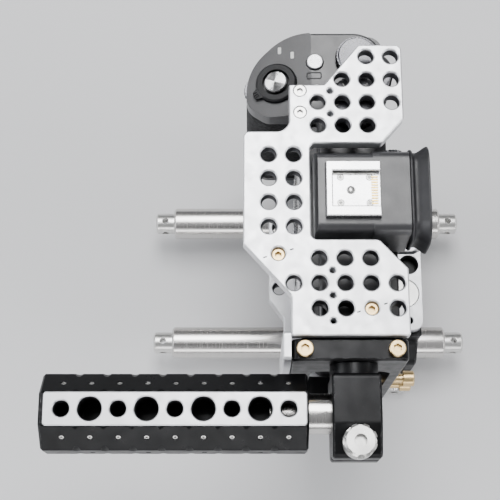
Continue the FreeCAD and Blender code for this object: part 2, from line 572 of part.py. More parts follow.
def battery_door():
    """The door under the battery, with its knuckle and the pin that turns in the base cover."""
    door = prism(battery_door_outline(), "xy", BASE + 0.1, BASE + 2.8)
    pin = battery_pin(PIN_R, 1.0)
    beyond_pin = box(BATTERY[1] + 0.2, BATTERY[1] + 5, -40, 0, BASE - 1, BASE + 5)
    latch = prism(rect(-61.5, -56.5, -25, -17, 1), "xy", BASE, BASE + 0.9)
    return fuse([cut(door, [beyond_pin, latch]), battery_pin(KNUCKLE_R, 0), pin])


def battery():
    cell = prism(rect(*BATTERY, 1.2), "xy", BASE + 3.1, BASE + 3.1 + 45)
    x0, x1, y0, y1 = BATTERY
    return cut(cell, [box(x0 + 4, x1 - 4, y0 - 1, y0 + 2, BASE + 4, BASE + 9)])


def grip_rubber():
    """The rubber skin of the grip around the battery chamber."""
    skin = prism(grip_footprint(), "xy", BASE + 3 + SEAM, GRIP_TOP)
    return cut(skin, [grip_core(SKIN_T - SLIP, BASE, GRIP_TOP + 1)])


def lens_mount():
    ring = rod(30.0, (0, FLANGE_Y, AXIS_Z), (0, -15.5, AXIS_Z))
    ring = break_edges(ring, "Y", FLANGE_Y, 0.8)
    ring = cut(ring, [rod(23.0, (0, FLANGE_Y - 1, AXIS_Z), (0, 0, AXIS_Z))])
    tabs = []
    for start in (25, 145, 265):
        tab = cut(rod(23.3, (0, -17.4, AXIS_Z), (0, -15.9, AXIS_Z)),
                  [rod(21.6, (0, -19, AXIS_Z), (0, -10, AXIS_Z))])
        angles = [math.radians(start + a) for a in (0, 27, 55)]
        wedge = [(0, 0, 0)] + [(40 * math.cos(a), 40 * math.sin(a), 0) for a in angles]
        tabs.append(tab.common(moved(prism(wedge, "xz", -20, -10), 0, 0, AXIS_Z)))
    ring = fuse([ring] + tabs)
    holes = []
    for cx, cz in mount_screw_directions():
        x, z = 26.6 * cx, AXIS_Z + 26.6 * cz
        holes += [rod(0.9, (x, -21, z), (x, -10, z)),
                  cone(1.9, 0.9, (x, FLANGE_Y - 0.01, z), (x, FLANGE_Y + 1.2, z))]
    pin_x, pin_z = 22.2, AXIS_Z - 16.1
    return cut(ring, holes + [rod(1.7, (pin_x, -21, pin_z), (pin_x, -10, pin_z))])


def mount_screws():
    screws = []
    for cx, cz in mount_screw_directions():
        x, z = 26.6 * cx, AXIS_Z + 26.6 * cz
        head = cone(1.8, 0.85, (x, FLANGE_Y + 0.05, z), (x, FLANGE_Y + 1.1, z))
        screw = fuse([head, rod(0.8, (x, FLANGE_Y + 1.0, z), (x, -15.55, z))])
        screws.append(cut(screw, [box(x - 0.9, x + 0.9, FLANGE_Y, FLANGE_Y + 0.5, z - 0.2, z + 0.2),
                                  box(x - 0.2, x + 0.2, FLANGE_Y, FLANGE_Y + 0.5, z - 0.9, z + 0.9)]))
    return screws


def mount_throat():
    """The black baffle behind the mount, down to the sensor's window, with the row of lens contacts."""
    tube = cut(rod(24.1, (0, -15.4, AXIS_Z), (0, -5.0, AXIS_Z)),
               [rod(22.6, (0, -20, AXIS_Z), (0, -6.5, AXIS_Z))])
    window = prism(rect(-19, 19, AXIS_Z - 13, AXIS_Z + 13, 2), "xz", -10, 0)
    shelf = cut(rod(22.7, (0, -14.6, AXIS_Z), (0, -6, AXIS_Z)),
                [box(-30, 30, -20, 0, AXIS_Z - 17.2, AXIS_Z + 40), box(-30, -13.5, -20, 0, 60, 100),
                 box(13.5, 30, -20, 0, 60, 100)])
    body = fuse([cut(tube, [window]), shelf])
    pits = [box(x - 0.7, x + 0.7, -15, -14.2, AXIS_Z - 20.2, AXIS_Z - 18.2) for x in contact_places()]
    return cut(body, pits)


def contact_places():
    return [(i - 4.5) * 2.1 for i in range(10)]


def mount_contacts():
    return [box(x - 0.65, x + 0.65, -14.9, -14.2, AXIS_Z - 20.15, AXIS_Z - 18.25) for x in contact_places()]


def image_sensor():
    glass = box(-18, 18, SENSOR_Y - 0.8, SENSOR_Y + 0.4, AXIS_Z - 12, AXIS_Z + 12)
    return break_edges(glass, "Y", SENSOR_Y - 0.8, 0.2)


def sensor_unit():
    """The sensor's carrier: a frame with coils that shift it against shake, and a circuit board behind."""
    frame = prism(rect(-27, 27, AXIS_Z - 21, AXIS_Z + 21, 3), "xz", -4.9, 1.5)
    seat = box(-18.1, 18.1, SENSOR_Y - 5, SENSOR_Y + 0.4, AXIS_Z - 12.1, AXIS_Z + 12.1)
    coils = [rod(4, (x, -6, AXIS_Z + z), (x, -3.5, AXIS_Z + z)) for x in (-22.5, 22.5) for z in (-15, 15)]
    return cut(frame, [seat] + coils)


def main_board():
    """The main circuit board, with the sockets soldered to its edge behind the port door."""
    board = prism(rect(-34, LEFT_END - 4, 70, 134, 2), "xz", 4, 5.4)
    chips = [box(-10, 12, 5.4, 6.8, 90, 112), box(20, 32, 5.4, 6.6, 94, 106), box(-28, -16, 2.6, 4, 74, 86)]
    panel = prism(rect(-9.5, 8.2, 76.5, 127.5, 1.5), "yz", LEFT_END - 5, LEFT_END - 2.6)
    sockets = [rod(1.75, (LEFT_END - 4, -4.6, z), (LEFT_END, -4.6, z)) for z in (118, 108)]
    flat = [(2.4, 7.0, z, z + h) for z, h in ((110, 11.5), (97, 8.5), (84, 7.5))]
    sockets += [prism(rect(*limits, 0.8), "yz", LEFT_END - 4, LEFT_END) for limits in flat]
    return cut(fuse([board, panel] + chips), sockets)


def viewfinder_housing():
    """The hump and the eyepiece block behind it, in one casting with a flat top for the shoe."""
    front = prism([(-16.9, TOP - 0.9, 0), (16.1, TOP - 0.9, 0), (15.4, HUMP_TOP, 3.5),
                   (-16.2, HUMP_TOP, 3.5)], "xz", -14.2, 9)
    nose = prism([(-14.2, TOP - 1, 0), (-14.2, TOP + 10, 2), (-12.6, HUMP_TOP + 1, 0), (-20, HUMP_TOP + 1, 0),
                  (-20, TOP - 1, 0)], "yz", -20, 20)
    front = cut(front, [nose])
    block = prism([(-17.9, 127.5, 4), (16.9, 127.5, 4), (16.1, HUMP_TOP, 4), (-17.1, HUMP_TOP, 4)],
                  "xz", 8.0, 22.0)
    housing = fuse([front, block])
    tunnel = prism(rect(-12.5, 11.5, 133, 150.5, 3), "xz", 13, 23)
    pocket = rod(4.6, (-20, 16.3, 147.5), (-15.5, 16.3, 147.5))
    shoe = box(-11.3, 10.5, -10.2, 10.6, HUMP_TOP - 1.2, HUMP_TOP + 1)
    return cut(housing, [tunnel, pocket, shoe])


def diopter_wheel():
    wheel = turned(knurled(4.4, 0.35, 22, 0, 2.6), Y, -90)
    return moved(fuse([wheel, rod(1.5, (0, 0, 0), (-3.0, 0, 0))]), -15.7, 16.3, 147.5)


def eyecup():
    """The rubber eyecup: a flared ring that closes on the eyepiece block."""
    outer = [(-20.5, 129.5, 9), (19.5, 129.5, 9), (19.5, 157.0, 9), (-20.5, 157.0, 9)]
    inner = [(-13.5, 134.5, 5), (12.5, 134.5, 5), (12.5, 152.0, 5), (-13.5, 152.0, 5)]
    root = cut(prism(rect(-18, 17, 131, 155.5, 5), "xz", 22.05, 25.5), [prism(inner, "xz", 21, 26)])
    flare = cut(prism(outer, "xz", 25.5, 29.6), [prism(rect(-16.5, 15.5, 132.5, 154, 7), "xz", 25, 31)])
    return fuse([root, flare])


def viewfinder_lens():
    return break_edges(prism(rect(-12.3, 11.3, 133.2, 150.3, 3), "xz", 17.5, 19.5), "Y", 19.5, 0.4)


def hot_shoe():
    """The accessory shoe: base, two overhanging rails, a stop and a row of contacts under the rear edge."""
    base = box(-11.2, 10.4, -10.1, 10.5, HUMP_TOP - 1.1, HUMP_TOP + 0.5)
    rails = []
    for x0, x1, lip0, lip1 in ((-11.2, -9.6, -11.2, -7.4), (8.8, 10.4, 6.6, 10.4)):
        rails += [box(x0, x1, -10.1, 10.5, HUMP_TOP, HUMP_TOP + 3.4),
                  box(lip0, lip1, -10.1, 10.5, HUMP_TOP + 2.3, HUMP_TOP + 3.4)]
    stop = box(-11.2, 10.4, -10.1, -7.6, HUMP_TOP, HUMP_TOP + 3.4)
    shoe = fuse([base, stop] + rails)
    shoe = break_edges(shoe, "Z", HUMP_TOP + 3.4, 0.3)
    places = [(x, y, 1.3) for x in (-5.5, 4.7) for y in (-4.5, 6.5)] + [(-0.4, -0.6, 1.6)]
    return cut(shoe, [rod(r, (x, y, HUMP_TOP + 0.1), (x, y, HUMP_TOP + 2)) for x, y, r in places])


# ---- controls -----------------------------------------------------------------------------------------
def shutter_button():
    cap = rod(4.6, (0, 0, 0.5), (0, 0, 2.7))
    cap = break_edges(cap, "Z", 2.7, 0.5)
    return on_slope(fuse([cap, rod(1.5, (0, 0, -4.6), (0, 0, 0.6))]))


def power_ring():
    ring = cut(break_edges(rod(8.2, (0, 0, -0.9), (0, 0, 1.9)), "Z", 1.9, 0.6),
               [rod(5.45, (0, 0, -2), (0, 0, 3))])
    tab = prism([(7.4, -2.6, 0), (10.4, -1.5, 1), (10.4, 1.5, 1), (7.4, 2.6, 0)], "xy", 0.2, 1.7)
    tab = turned(tab, Z, -58)
    grooves = [turned(box(8.6, 11, k - 0.2, k + 0.2, 1.3, 3), Z, -58) for k in (-0.9, 0, 0.9)]
    return on_slope(cut(fuse([ring, tab]), grooves))


def top_button(x, y):
    cap = rod(3.4, (x, y, TOP - 1.6), (x, y, TOP + 1.1))
    return cap.makeFillet(0.6, edges_at(cap, "Z", TOP + 1.1))


def top_dial(x, y, radius, height, teeth):
    """A ribbed dial with a smooth cap and a shaft into the top cover."""
    ribs = knurled(radius, 0.35, teeth, -1.0, height - 0.8)
    cap = break_edges(rod(radius - 0.7, (0, 0, height - 0.8), (0, 0, height)), "Z", height, 0.4)
    shaft = rod(2.0, (0, 0, -3.6), (0, 0, -0.9))
    return moved(fuse([ribs, cap, shaft]), x, y, TOP)


def edge_dial(x, y, radius, low, high, teeth):
    return moved(knurled(radius, 0.5, teeth, low, high), x, y, 0)


def control_wheel():
    x, z = WHEEL
    ring = turned(knurled(12.0, 0.35, 44, -18.2, -15.0), X, 90)
    ring = fuse([ring, rod(11.0, (0, 13.6, 0), (0, 15.01, 0))])
    dish = cone(6.0, 8.6, (0, 17.4, 0), (0, 18.3, 0))
    return moved(cut(ring, [rod(6.0, (0, 10, 0), (0, 25, 0)), dish]), x, 0, z)


def rear_button(x, z, r):
    cap = rod(r, (x, 13.4, z), (x, REAR + 1.0, z))
    return cap.makeFillet(0.4, edges_at(cap, "Y", REAR + 1.0))


def centre_button():
    x, z = WHEEL
    cap = rod(4.6, (x, 12.6, z), (x, 17.8, z))
    return cap.makeFillet(0.6, edges_at(cap, "Y", 17.8))


def lens_release_button():
    cap = rod(3.95, (29.5, -16.2, 84), (29.5, -13.2, 84))
    return cap.makeFillet(0.7, edges_at(cap, "Y", -16.2))


def screen_arm():
    """The thin arm that carries the screen: pinned to the body below and to the screen above."""
    plate = prism(rect(-10, 34, ARM_LOW_Z, ARM_HIGH_Z, 0), "xz", ARM_Y - 0.7, ARM_Y + 0.7)
    plate = cut(plate, [prism(rect(-2, 26, 80, 113, 4), "xz", 10, 15)])
    parts = [plate]
    for z in (ARM_LOW_Z, ARM_HIGH_Z):
        parts += [rod(1.5, (-10, ARM_Y, z), (34, ARM_Y, z)), rod(0.75, (-15.5, ARM_Y, z), (39.5, ARM_Y, z))]
    return fuse(parts)


def screen_panel():
    x0, x1, z0, z1 = SCREEN
    panel = prism(rect(x0, x1, z0, z1, 3), "xz", 14.3, 20.4)
    panel = panel.makeFillet(0.8, edges_at(panel, "Y", 20.4))
    panel = cut(panel, [prism(rect(x0 + 5, x1 - 5, z0 + 5, z1 - 4, 1), "xz", 19.6, 22)])
    lugs = []
    for a, b in ((-16, -10.2), (34.2, 40)):
        lug = fuse([rod(1.5, (a, ARM_Y, ARM_HIGH_Z), (b, ARM_Y, ARM_HIGH_Z)),
                    box(a, b, ARM_Y, 14.8, ARM_HIGH_Z - 1.5, ARM_HIGH_Z + 1.5)])
        lugs.append(cut(lug, [rod(0.8, (a - 1, ARM_Y, ARM_HIGH_Z), (b + 1, ARM_Y, ARM_HIGH_Z))]))
    return fuse([panel] + lugs)


def screen_glass():
    x0, x1, z0, z1 = SCREEN
    return prism(rect(x0 + 5.1, x1 - 5.1, z0 + 5.1, z1 - 4.1, 0.9), "xz", 19.65, 20.3)


def card_pin(radius, reach):
    """A cylinder on the card door's hinge axis, reach longer at each end than the door's knuckle."""
    return rod(radius, (RIGHT_END + 1, CARD_PIN_Y, 80 - reach), (RIGHT_END + 1, CARD_PIN_Y, 122 + reach))


def card_door():
    """The cover over the card slot in the grip's end, with an upright pin at its front edge."""
    door = prism([(RIGHT_END + 2.2, CARD_PIN_Y, 0), (RIGHT_END + 2.2, 12.0, 0), (RIGHT_END, 12.0, 0.8),
                  (RIGHT_END, CARD_PIN_Y, 0)], "xy", 80, 122)
    door = fuse([door, card_pin(KNUCKLE_R, 0), card_pin(PIN_R, 0.8)])
    return cut(door, [box(RIGHT_END - 1, RIGHT_END + 0.4, 8.6, 9.2, 92, 110),
                      box(RIGHT_END - 1, RIGHT_END + 0.4, 10.0, 10.6, 92, 110)])


def port_door():
    """The rubber cover over the sockets, hinged at its front upright edge."""
    low, high = 76.2, 127.8
    door = prism([(LEFT_END - 1.8, -11.6, 0), (LEFT_END, -11.6, 0.8), (LEFT_END, 13.7, 0.8),
                  (LEFT_END - 1.8, 13.7, 0)], "xy", low, high)
    round_ends = prism(rect(-11.6, 13.7, low, high, 1.8), "yz", LEFT_END - 3, LEFT_END + 1)
    return cut(door.common(round_ends), [box(LEFT_END - 0.4, LEFT_END + 1, 12.0, 12.6, 96, 108)])


# ---- handle -------------------------------------------------------------------------------------------
# Drawn upright about its rod: clamp at the origin, grip hanging below it, cheese bar facing +X.
def held(shape, roll=0.0):
    """Swings an upright handle part forward on the pivot, rolled about its own rod."""
    return moved(turned(turned(shape, X, -90), Y, roll), HANDLE_X, HANDLE_PIVOT_Y, HANDLE_PIVOT_Z)


def octagon(flat, corner_r):
    """Corners of a regular octagon with faces across X and Y."""
    reach = flat / 2 / math.cos(math.radians(22.5))
    angles = [math.radians(22.5 + 45 * i) for i in range(8)]
    return [(reach * math.cos(a), reach * math.sin(a), corner_r) for a in angles]


def handle_holes():
    """Height and radius of the cheese bar's holes: 1/4-20 and 3/8-16 by turns."""
    middle = HANDLE_START - GRIP_LENGTH / 2
    return [(middle + (i - 4) * HANDLE_HOLE_PITCH, THREE_EIGHTHS_R if i % 2 else QUARTER_R)
            for i in range(9)]


def handle_body():
    low, high = HANDLE_START - GRIP_LENGTH, HANDLE_START
    end_low, end_high = low - 1.5, high + 0.5
    bar = prism(octagon(HANDLE_FLAT, 1.2), "xy", end_low, end_high)
    bar = break_edges(break_edges(bar, "Z", end_low, 0.8), "Z", end_high, 0.8)
    tools = [box(6, 20, -6.2, 6.2, low, high), rod(5.0, (0, 0, high - 14), (0, 0, high + 2))]
    for z, r in handle_holes():
        tools.append(rod(r + 0.6, (-6, 0, z), (7, 0, z)))
        tools += [turned(rod(1.0, (11, 0, z), (16, 0, z)), Z, side) for side in (-45, 45)]
        if r > QUARTER_R:
            tools += [turned(rod(1.0, (11, 0, z), (16, 0, z)), Z, side) for side in (-90, 90)]
    bar = cut(bar, tools)
    grooves = [Part.makeTorus(16.9, 2.4, V(0, 0, z + HANDLE_HOLE_PITCH / 2), Z)
               for z, r in handle_holes()[:-1]]
    return held(cut(bar, grooves), -90)


def handle_cheese_bar():
    """The bright bar let into the handle's face."""
    low, high = HANDLE_START - GRIP_LENGTH, HANDLE_START
    face = HANDLE_FLAT / 2 + 0.3
    bar = prism(rect(-6.1, 6.1, low + 0.1, high - 0.1, 1.2), "yz", 6.1, face)
    bar = cut(bar, [rod(r, (0, 0, z), (20, 0, z)) for z, r in handle_holes()])
    return held(break_edges(bar, "X", face, 0.35), -90)


def handle_rod():
    """The 15 mm stub that the clamp holds, with a spigot into the grip."""
    stub = break_edges(rod(ROD_R, (0, 0, HANDLE_START + 0.55), (0, 0, 9.6)), "Z", 9.6, 0.8)
    stub = fuse([stub, rod(4.95, (0, 0, HANDLE_START - 13.5), (0, 0, HANDLE_START + 0.6))])
    return held(cut(stub, [rod(2.6, (0, 0, 0), (0, 0, 11))]), -90)


def handle_clamp():
    """A split clamp for the handle's rod, on a round foot that turns on the side plate."""
    foot_x = SIDE_OUT - HANDLE_X
    foot = rod(9.0, (foot_x + 0.1, 0, 0), (foot_x + 5, 0, 0))
    body = prism([(foot_x + 4.5, -12, 2), (5, -12, 6), (17, -9, 3), (17, 9, 3), (5, 12, 6),
                  (foot_x + 4.5, 12, 2)], "xy", -9, 9)
    body = break_edges(break_edges(body, "Z", -9, 0.7), "Z", 9, 0.7)
    tools = [rod(ROD_R + SLIP, (0, 0, -10), (0, 0, 10)), box(0, 20, -1, 1, -10, 10),
             rod(2.5 + SLIP, (CLAMP_SCREW_X, -14, 0), (CLAMP_SCREW_X, 7.5, 0)),
             rod(2.6, (foot_x - 1, 0, 0), (0, 0, 0)), rod(4.6, (foot_x + 5.5, 0, 0), (0, 0, 0))]
    return held(cut(fuse([foot, body]), tools))


def handle_thumbscrew():
    screw = turned(thumbscrew(19.0), Z, -90)
    return held(moved(screw, CLAMP_SCREW_X, 7.0, 0))


# ---- write every node ---------------------------------------------------------------------------------
def block_nodes():
    right_plate, left_plate = cheese_plates()
    nodes = {"rod_block": rod_block(), "cheese_plate_right": right_plate, "cheese_plate_left": left_plate,
             "block_screws": block_screws()}
    for side, word in ((-1, "right"), (1, "left")):
        nodes["rod_" + word], nodes["rod_plugs_" + word] = rod_parts(side)
        for y, end in ((-JAW_SCREW_Y, "front"), (JAW_SCREW_Y, "rear")):
            nodes["thumbscrew_%s_%s" % (word, end)] = jaw_thumbscrew(side, y)
    return nodes


def camera_nodes():
    """Camera, cage and handle, in the camera's own coordinates."""
    nodes = {
        "cage_bottom_plate": cage_bottom_plate(), "cage_side_plate": cage_side_plate(),
        "cage_top_plate": cage_top_plate(), "cage_front_post": cage_front_post(),
        "cage_screws": cage_screws(), "cage_brass_screws": cage_brass_screws(),
        "front_shell": front_shell(), "rear_shell": rear_shell(), "top_cover": top_cover(),
        "bottom_cover": bottom_cover(), "grip_rubber": grip_rubber(),
        "lens_mount": lens_mount(), "mount_screws": mount_screws(), "mount_throat": mount_throat(),
        "mount_contacts": mount_contacts(), "image_sensor": image_sensor(), "sensor_unit": sensor_unit(),
        "main_board": main_board(), "battery": battery(),
        "hot_shoe": hot_shoe(), "viewfinder_housing": viewfinder_housing(),
        "viewfinder_lens": viewfinder_lens(), "eyecup": eyecup(), "diopter_wheel": diopter_wheel(),
        "shutter_button": shutter_button(), "power_ring": power_ring(),
        "mode_dial": top_dial(*MODE_DIAL, 6.6, 40), "exposure_dial": top_dial(*EXPOSURE_DIAL, 4.4, 34),
        "front_dial": edge_dial(*FRONT_DIAL, 6.1, 132.7, 135.5, 26),
        "rear_dial": edge_dial(*REAR_DIAL, 7.1, 130.4, 134.6, 30),
        "control_wheel": control_wheel(), "centre_button": centre_button(),
        "lens_release_button": lens_release_button(),
        "screen_arm": screen_arm(), "screen_panel": screen_panel(), "screen_glass": screen_glass(),
        "battery_door": battery_door(), "card_door": card_door(), "port_door": port_door(),
        "handle_clamp": handle_clamp(), "handle_body": handle_body(), "handle_rod": handle_rod(),
        "handle_cheese_bar": handle_cheese_bar(), "handle_thumbscrew": handle_thumbscrew(),
    }
    for name, (x, y) in TOP_BUTTONS.items():
        nodes[name] = top_button(x, y)
    for name, (x, z, r) in REAR_BUTTONS.items():
        nodes[name] = rear_button(x, z, r)
    return nodes


os.makedirs("parts", exist_ok=True)
for node, shapes in block_nodes().items():
    write(node, shapes)
for node, shapes in camera_nodes().items():
    write(node, [moved(s, 0, -CAMERA_FORWARD) for s in (shapes if isinstance(shapes, list) else [shapes])])
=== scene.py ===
import math

import bmesh
import bpy
from mathutils import Matrix, Vector, noise

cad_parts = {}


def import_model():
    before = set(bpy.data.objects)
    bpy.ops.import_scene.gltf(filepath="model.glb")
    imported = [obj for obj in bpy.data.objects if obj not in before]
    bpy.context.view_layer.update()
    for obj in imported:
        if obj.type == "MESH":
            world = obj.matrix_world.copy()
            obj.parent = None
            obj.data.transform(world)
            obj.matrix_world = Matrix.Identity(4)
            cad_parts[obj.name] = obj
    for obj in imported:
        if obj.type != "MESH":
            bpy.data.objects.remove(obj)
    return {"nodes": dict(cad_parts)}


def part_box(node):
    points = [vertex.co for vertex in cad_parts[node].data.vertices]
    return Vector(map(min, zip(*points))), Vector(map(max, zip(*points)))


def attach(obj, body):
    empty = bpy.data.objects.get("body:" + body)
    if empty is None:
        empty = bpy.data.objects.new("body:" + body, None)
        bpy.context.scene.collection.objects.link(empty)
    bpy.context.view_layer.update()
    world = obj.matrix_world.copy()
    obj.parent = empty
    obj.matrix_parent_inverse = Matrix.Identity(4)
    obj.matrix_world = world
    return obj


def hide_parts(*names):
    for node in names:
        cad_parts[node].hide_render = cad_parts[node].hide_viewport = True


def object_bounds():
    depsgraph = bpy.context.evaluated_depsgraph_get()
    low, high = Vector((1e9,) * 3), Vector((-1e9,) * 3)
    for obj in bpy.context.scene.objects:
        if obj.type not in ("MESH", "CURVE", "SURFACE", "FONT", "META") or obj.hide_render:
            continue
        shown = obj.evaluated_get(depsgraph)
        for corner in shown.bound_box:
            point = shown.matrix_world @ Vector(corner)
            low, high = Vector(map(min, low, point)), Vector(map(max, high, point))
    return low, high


# Looks of the cinema camera rig. Everything is in metres in the CAD's frame: +Z up, lens -Y, hand grip -X.

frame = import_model()
cad_low, cad_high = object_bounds()
nodes = frame["nodes"]
MM = 0.001
X, Y, Z = Vector((1, 0, 0)), Vector((0, 1, 0)), Vector((0, 0, 1))


# ---- materials ----------------------------------------------------------------------------------------
class Paint:
    """One material and short-hand for its nodes. Coordinates are the piece's own, in metres."""

    def __init__(self, name, colour, metallic, specular=0.5):
        self.material = bpy.data.materials.new(name)
        self.material.use_nodes = True
        self.tree = self.material.node_tree
        self.shader = self.tree.nodes["Principled BSDF"]
        self.shader.inputs["Base Color"].default_value = (*colour, 1)
        self.shader.inputs["Metallic"].default_value = metallic
        self.shader.inputs["Specular IOR Level"].default_value = specular
        self.material.diffuse_color = (*colour, 1)
        self.place = self.add("ShaderNodeTexCoord").outputs["Object"]

    def add(self, kind, **settings):
        node = self.tree.nodes.new(kind)
        for key, value in settings.items():
            setattr(node, key, value)
        return node

    def put(self, value, socket):
        """Links an output, or sets a plain value."""
        if isinstance(value, bpy.types.NodeSocket):
            self.tree.links.new(value, socket)
        else:
            socket.default_value = value

    def stretched(self, scale):
        node = self.add("ShaderNodeMapping")
        self.put(self.place, node.inputs["Vector"])
        node.inputs["Scale"].default_value = scale
        return node.outputs["Vector"]

    def cloud(self, scale, detail=3.0, vector=None, rough=0.55):
        node = self.add("ShaderNodeTexNoise")
        self.put(vector or self.place, node.inputs["Vector"])
        node.inputs["Scale"].default_value = scale
        node.inputs["Detail"].default_value = detail
        node.inputs["Roughness"].default_value = rough
        return node.outputs["Fac"]

    def cells(self, scale):
        node = self.add("ShaderNodeTexVoronoi", feature="SMOOTH_F1")
        self.put(self.place, node.inputs["Vector"])
        node.inputs["Scale"].default_value = scale
        return node.outputs["Distance"]

    def maths(self, operation, a, b=0.0, clamp=False):
        node = self.add("ShaderNodeMath", operation=operation, use_clamp=clamp)
        self.put(a, node.inputs[0])
        self.put(b, node.inputs[1])
        return node.outputs[0]

    def spread(self, value, low, high, start=0.3, end=0.7):
        """Maps start..end to low..high."""
        node = self.add("ShaderNodeMapRange")
        self.put(value, node.inputs["Value"])
        for socket, number in zip(("From Min", "From Max", "To Min", "To Max"), (start, end, low, high)):
            node.inputs[socket].default_value = number
        return node.outputs["Result"]

    def mix(self, factor, a, b):
        node = self.add("ShaderNodeMix", data_type="RGBA")
        self.put(factor, node.inputs["Factor"])
        for value, socket in ((a, node.inputs[6]), (b, node.inputs[7])):
            self.put((*value, 1) if isinstance(value, tuple) and len(value) == 3 else value, socket)
        return node.outputs[2]

    def edges(self, radius):
        """1 along sharp edges and 0 elsewhere, with the rounded normal."""
        node = self.add("ShaderNodeBevel", samples=4)
        node.inputs["Radius"].default_value = radius * MM
        flat = self.add("ShaderNodeNewGeometry").outputs["Normal"]
        dot = self.add("ShaderNodeVectorMath", operation="DOT_PRODUCT")
        self.put(node.outputs["Normal"], dot.inputs[0])
        self.put(flat, dot.inputs[1])
        near = self.maths("MULTIPLY", self.maths("SUBTRACT", 1.0, dot.outputs["Value"]), 7.0, clamp=True)
        return near, node.outputs["Normal"]

    def bump(self, height, depth, normal=None):
        node = self.add("ShaderNodeBump")
        node.inputs["Distance"].default_value = depth * MM
        node.inputs["Strength"].default_value = 1.0
        self.put(height, node.inputs["Height"])
        if normal is not None:
            self.put(normal, node.inputs["Normal"])
        return node.outputs["Normal"]

    def finish(self, colour=None, rough=None, normal=None):
        for value, socket in ((colour, "Base Color"), (rough, "Roughness"), (normal, "Normal")):
            if value is not None:
                self.put(value, self.shader.inputs[socket])
        return self.material


def shade(colour, factor):
    return tuple(min(1.0, c * factor) for c in colour)


def surface(name, colour, metallic=0.0, rough=(0.35, 0.5), tone=0.12, patch=60, grain=2600, depth=0.02,
            wear=None, wear_reach=0.35, specular=0.5, coat=0.0):
    """A cast, blasted or moulded surface: patchy tone and roughness, fine grain and rubbed edges."""
    p = Paint(name, colour, metallic, specular)
    patches = p.cloud(patch, 4.0)
    base = p.mix(p.spread(patches, 0.0, 1.0), shade(colour, 1 - tone), shade(colour, 1 + tone))
    specks = p.cloud(grain * 0.45, 2.0)
    base = p.mix(p.spread(specks, 0.0, 0.35, 0.5, 0.8), base, shade(colour, 1 + 2.2 * tone))
    gloss = p.spread(p.cloud(patch * 3.1, 3.0), rough[0], rough[1])
    near, normal = p.edges(wear_reach)
    if wear is not None:
        chips = p.spread(p.cloud(420, 5.0, rough=0.7), 0.0, 1.0, 0.48, 0.62)
        worn = p.maths("MULTIPLY", near, chips, clamp=True)
        base = p.mix(worn, base, wear)
        gloss = p.maths("SUBTRACT", gloss, p.maths("MULTIPLY", worn, 0.12))
    p.shader.inputs["Coat Weight"].default_value = coat
    p.shader.inputs["Coat Roughness"].default_value = 0.34
    return p.finish(base, gloss, p.bump(p.cloud(grain, 2.0, rough=0.6), depth, normal))


def turned_metal(name, colour, rough, grooves, depth=0.006, anisotropy=0.5, tone=0.08, stain=0.35):
    """Metal finished on a lathe or by brushing: fine lines that are long where the groove scale is small, and
    a painted highlight along the sharp edges.
    """
    p = Paint(name, colour, 1.0)
    lines = p.cloud(1.0, 3.0, p.stretched(grooves), 0.7)
    smudge = p.cloud(90, 4.0)
    base = p.mix(p.spread(lines, 0.0, 1.0, 0.35, 0.65), shade(colour, 1 - tone), shade(colour, 1 + tone))
    base = p.mix(p.spread(smudge, 0.0, stain), base, shade(colour, 0.86))
    gloss = p.maths("ADD", p.spread(lines, rough[0], rough[1], 0.3, 0.7), p.spread(smudge, 0.0, 0.14 * stain))
    near, normal = p.edges(0.25)
    p.shader.inputs["Anisotropic"].default_value = anisotropy
    # Painted highlight: sharp edges are lightened by up to a quarter, standing in for the light caught on
    # rounded edges.
    return p.finish(p.mix(p.maths("MULTIPLY", near, 0.5), base, shade(colour, 1.25)), gloss,
                    p.bump(lines, depth, normal))


def pebbled(name, colour, cell=900, depth=0.16, rough=(0.5, 0.68), tone=0.25):
    """Leather-grained rubber: rounded pebbles with rougher creases between them, painted lighter on the
    pebbles and darker in the creases as light and shade.
    """
    p = Paint(name, colour, 0.0, 0.4)
    near_crease = p.cells(cell)
    wide = p.cloud(45, 3.0)
    fine = p.cloud(cell * 2.2)
    pebbles = p.maths("ADD", p.maths("MULTIPLY", near_crease, -1.0), p.maths("MULTIPLY", fine, 0.4))
    # Painted light and shade: the pebbles' crowns are lightened and the creases between them darkened.
    base = p.mix(p.spread(near_crease, 0.0, 1.0, 0.15, 0.6), shade(colour, 1 + tone), shade(colour, 1 - tone))
    base = p.mix(p.spread(wide, 0.0, 0.5), base, shade(colour, 1.35))
    gloss = p.spread(near_crease, rough[0], rough[1], 0.1, 0.6)
    return p.finish(base, gloss, p.bump(pebbles, depth, p.edges(0.5)[1]))


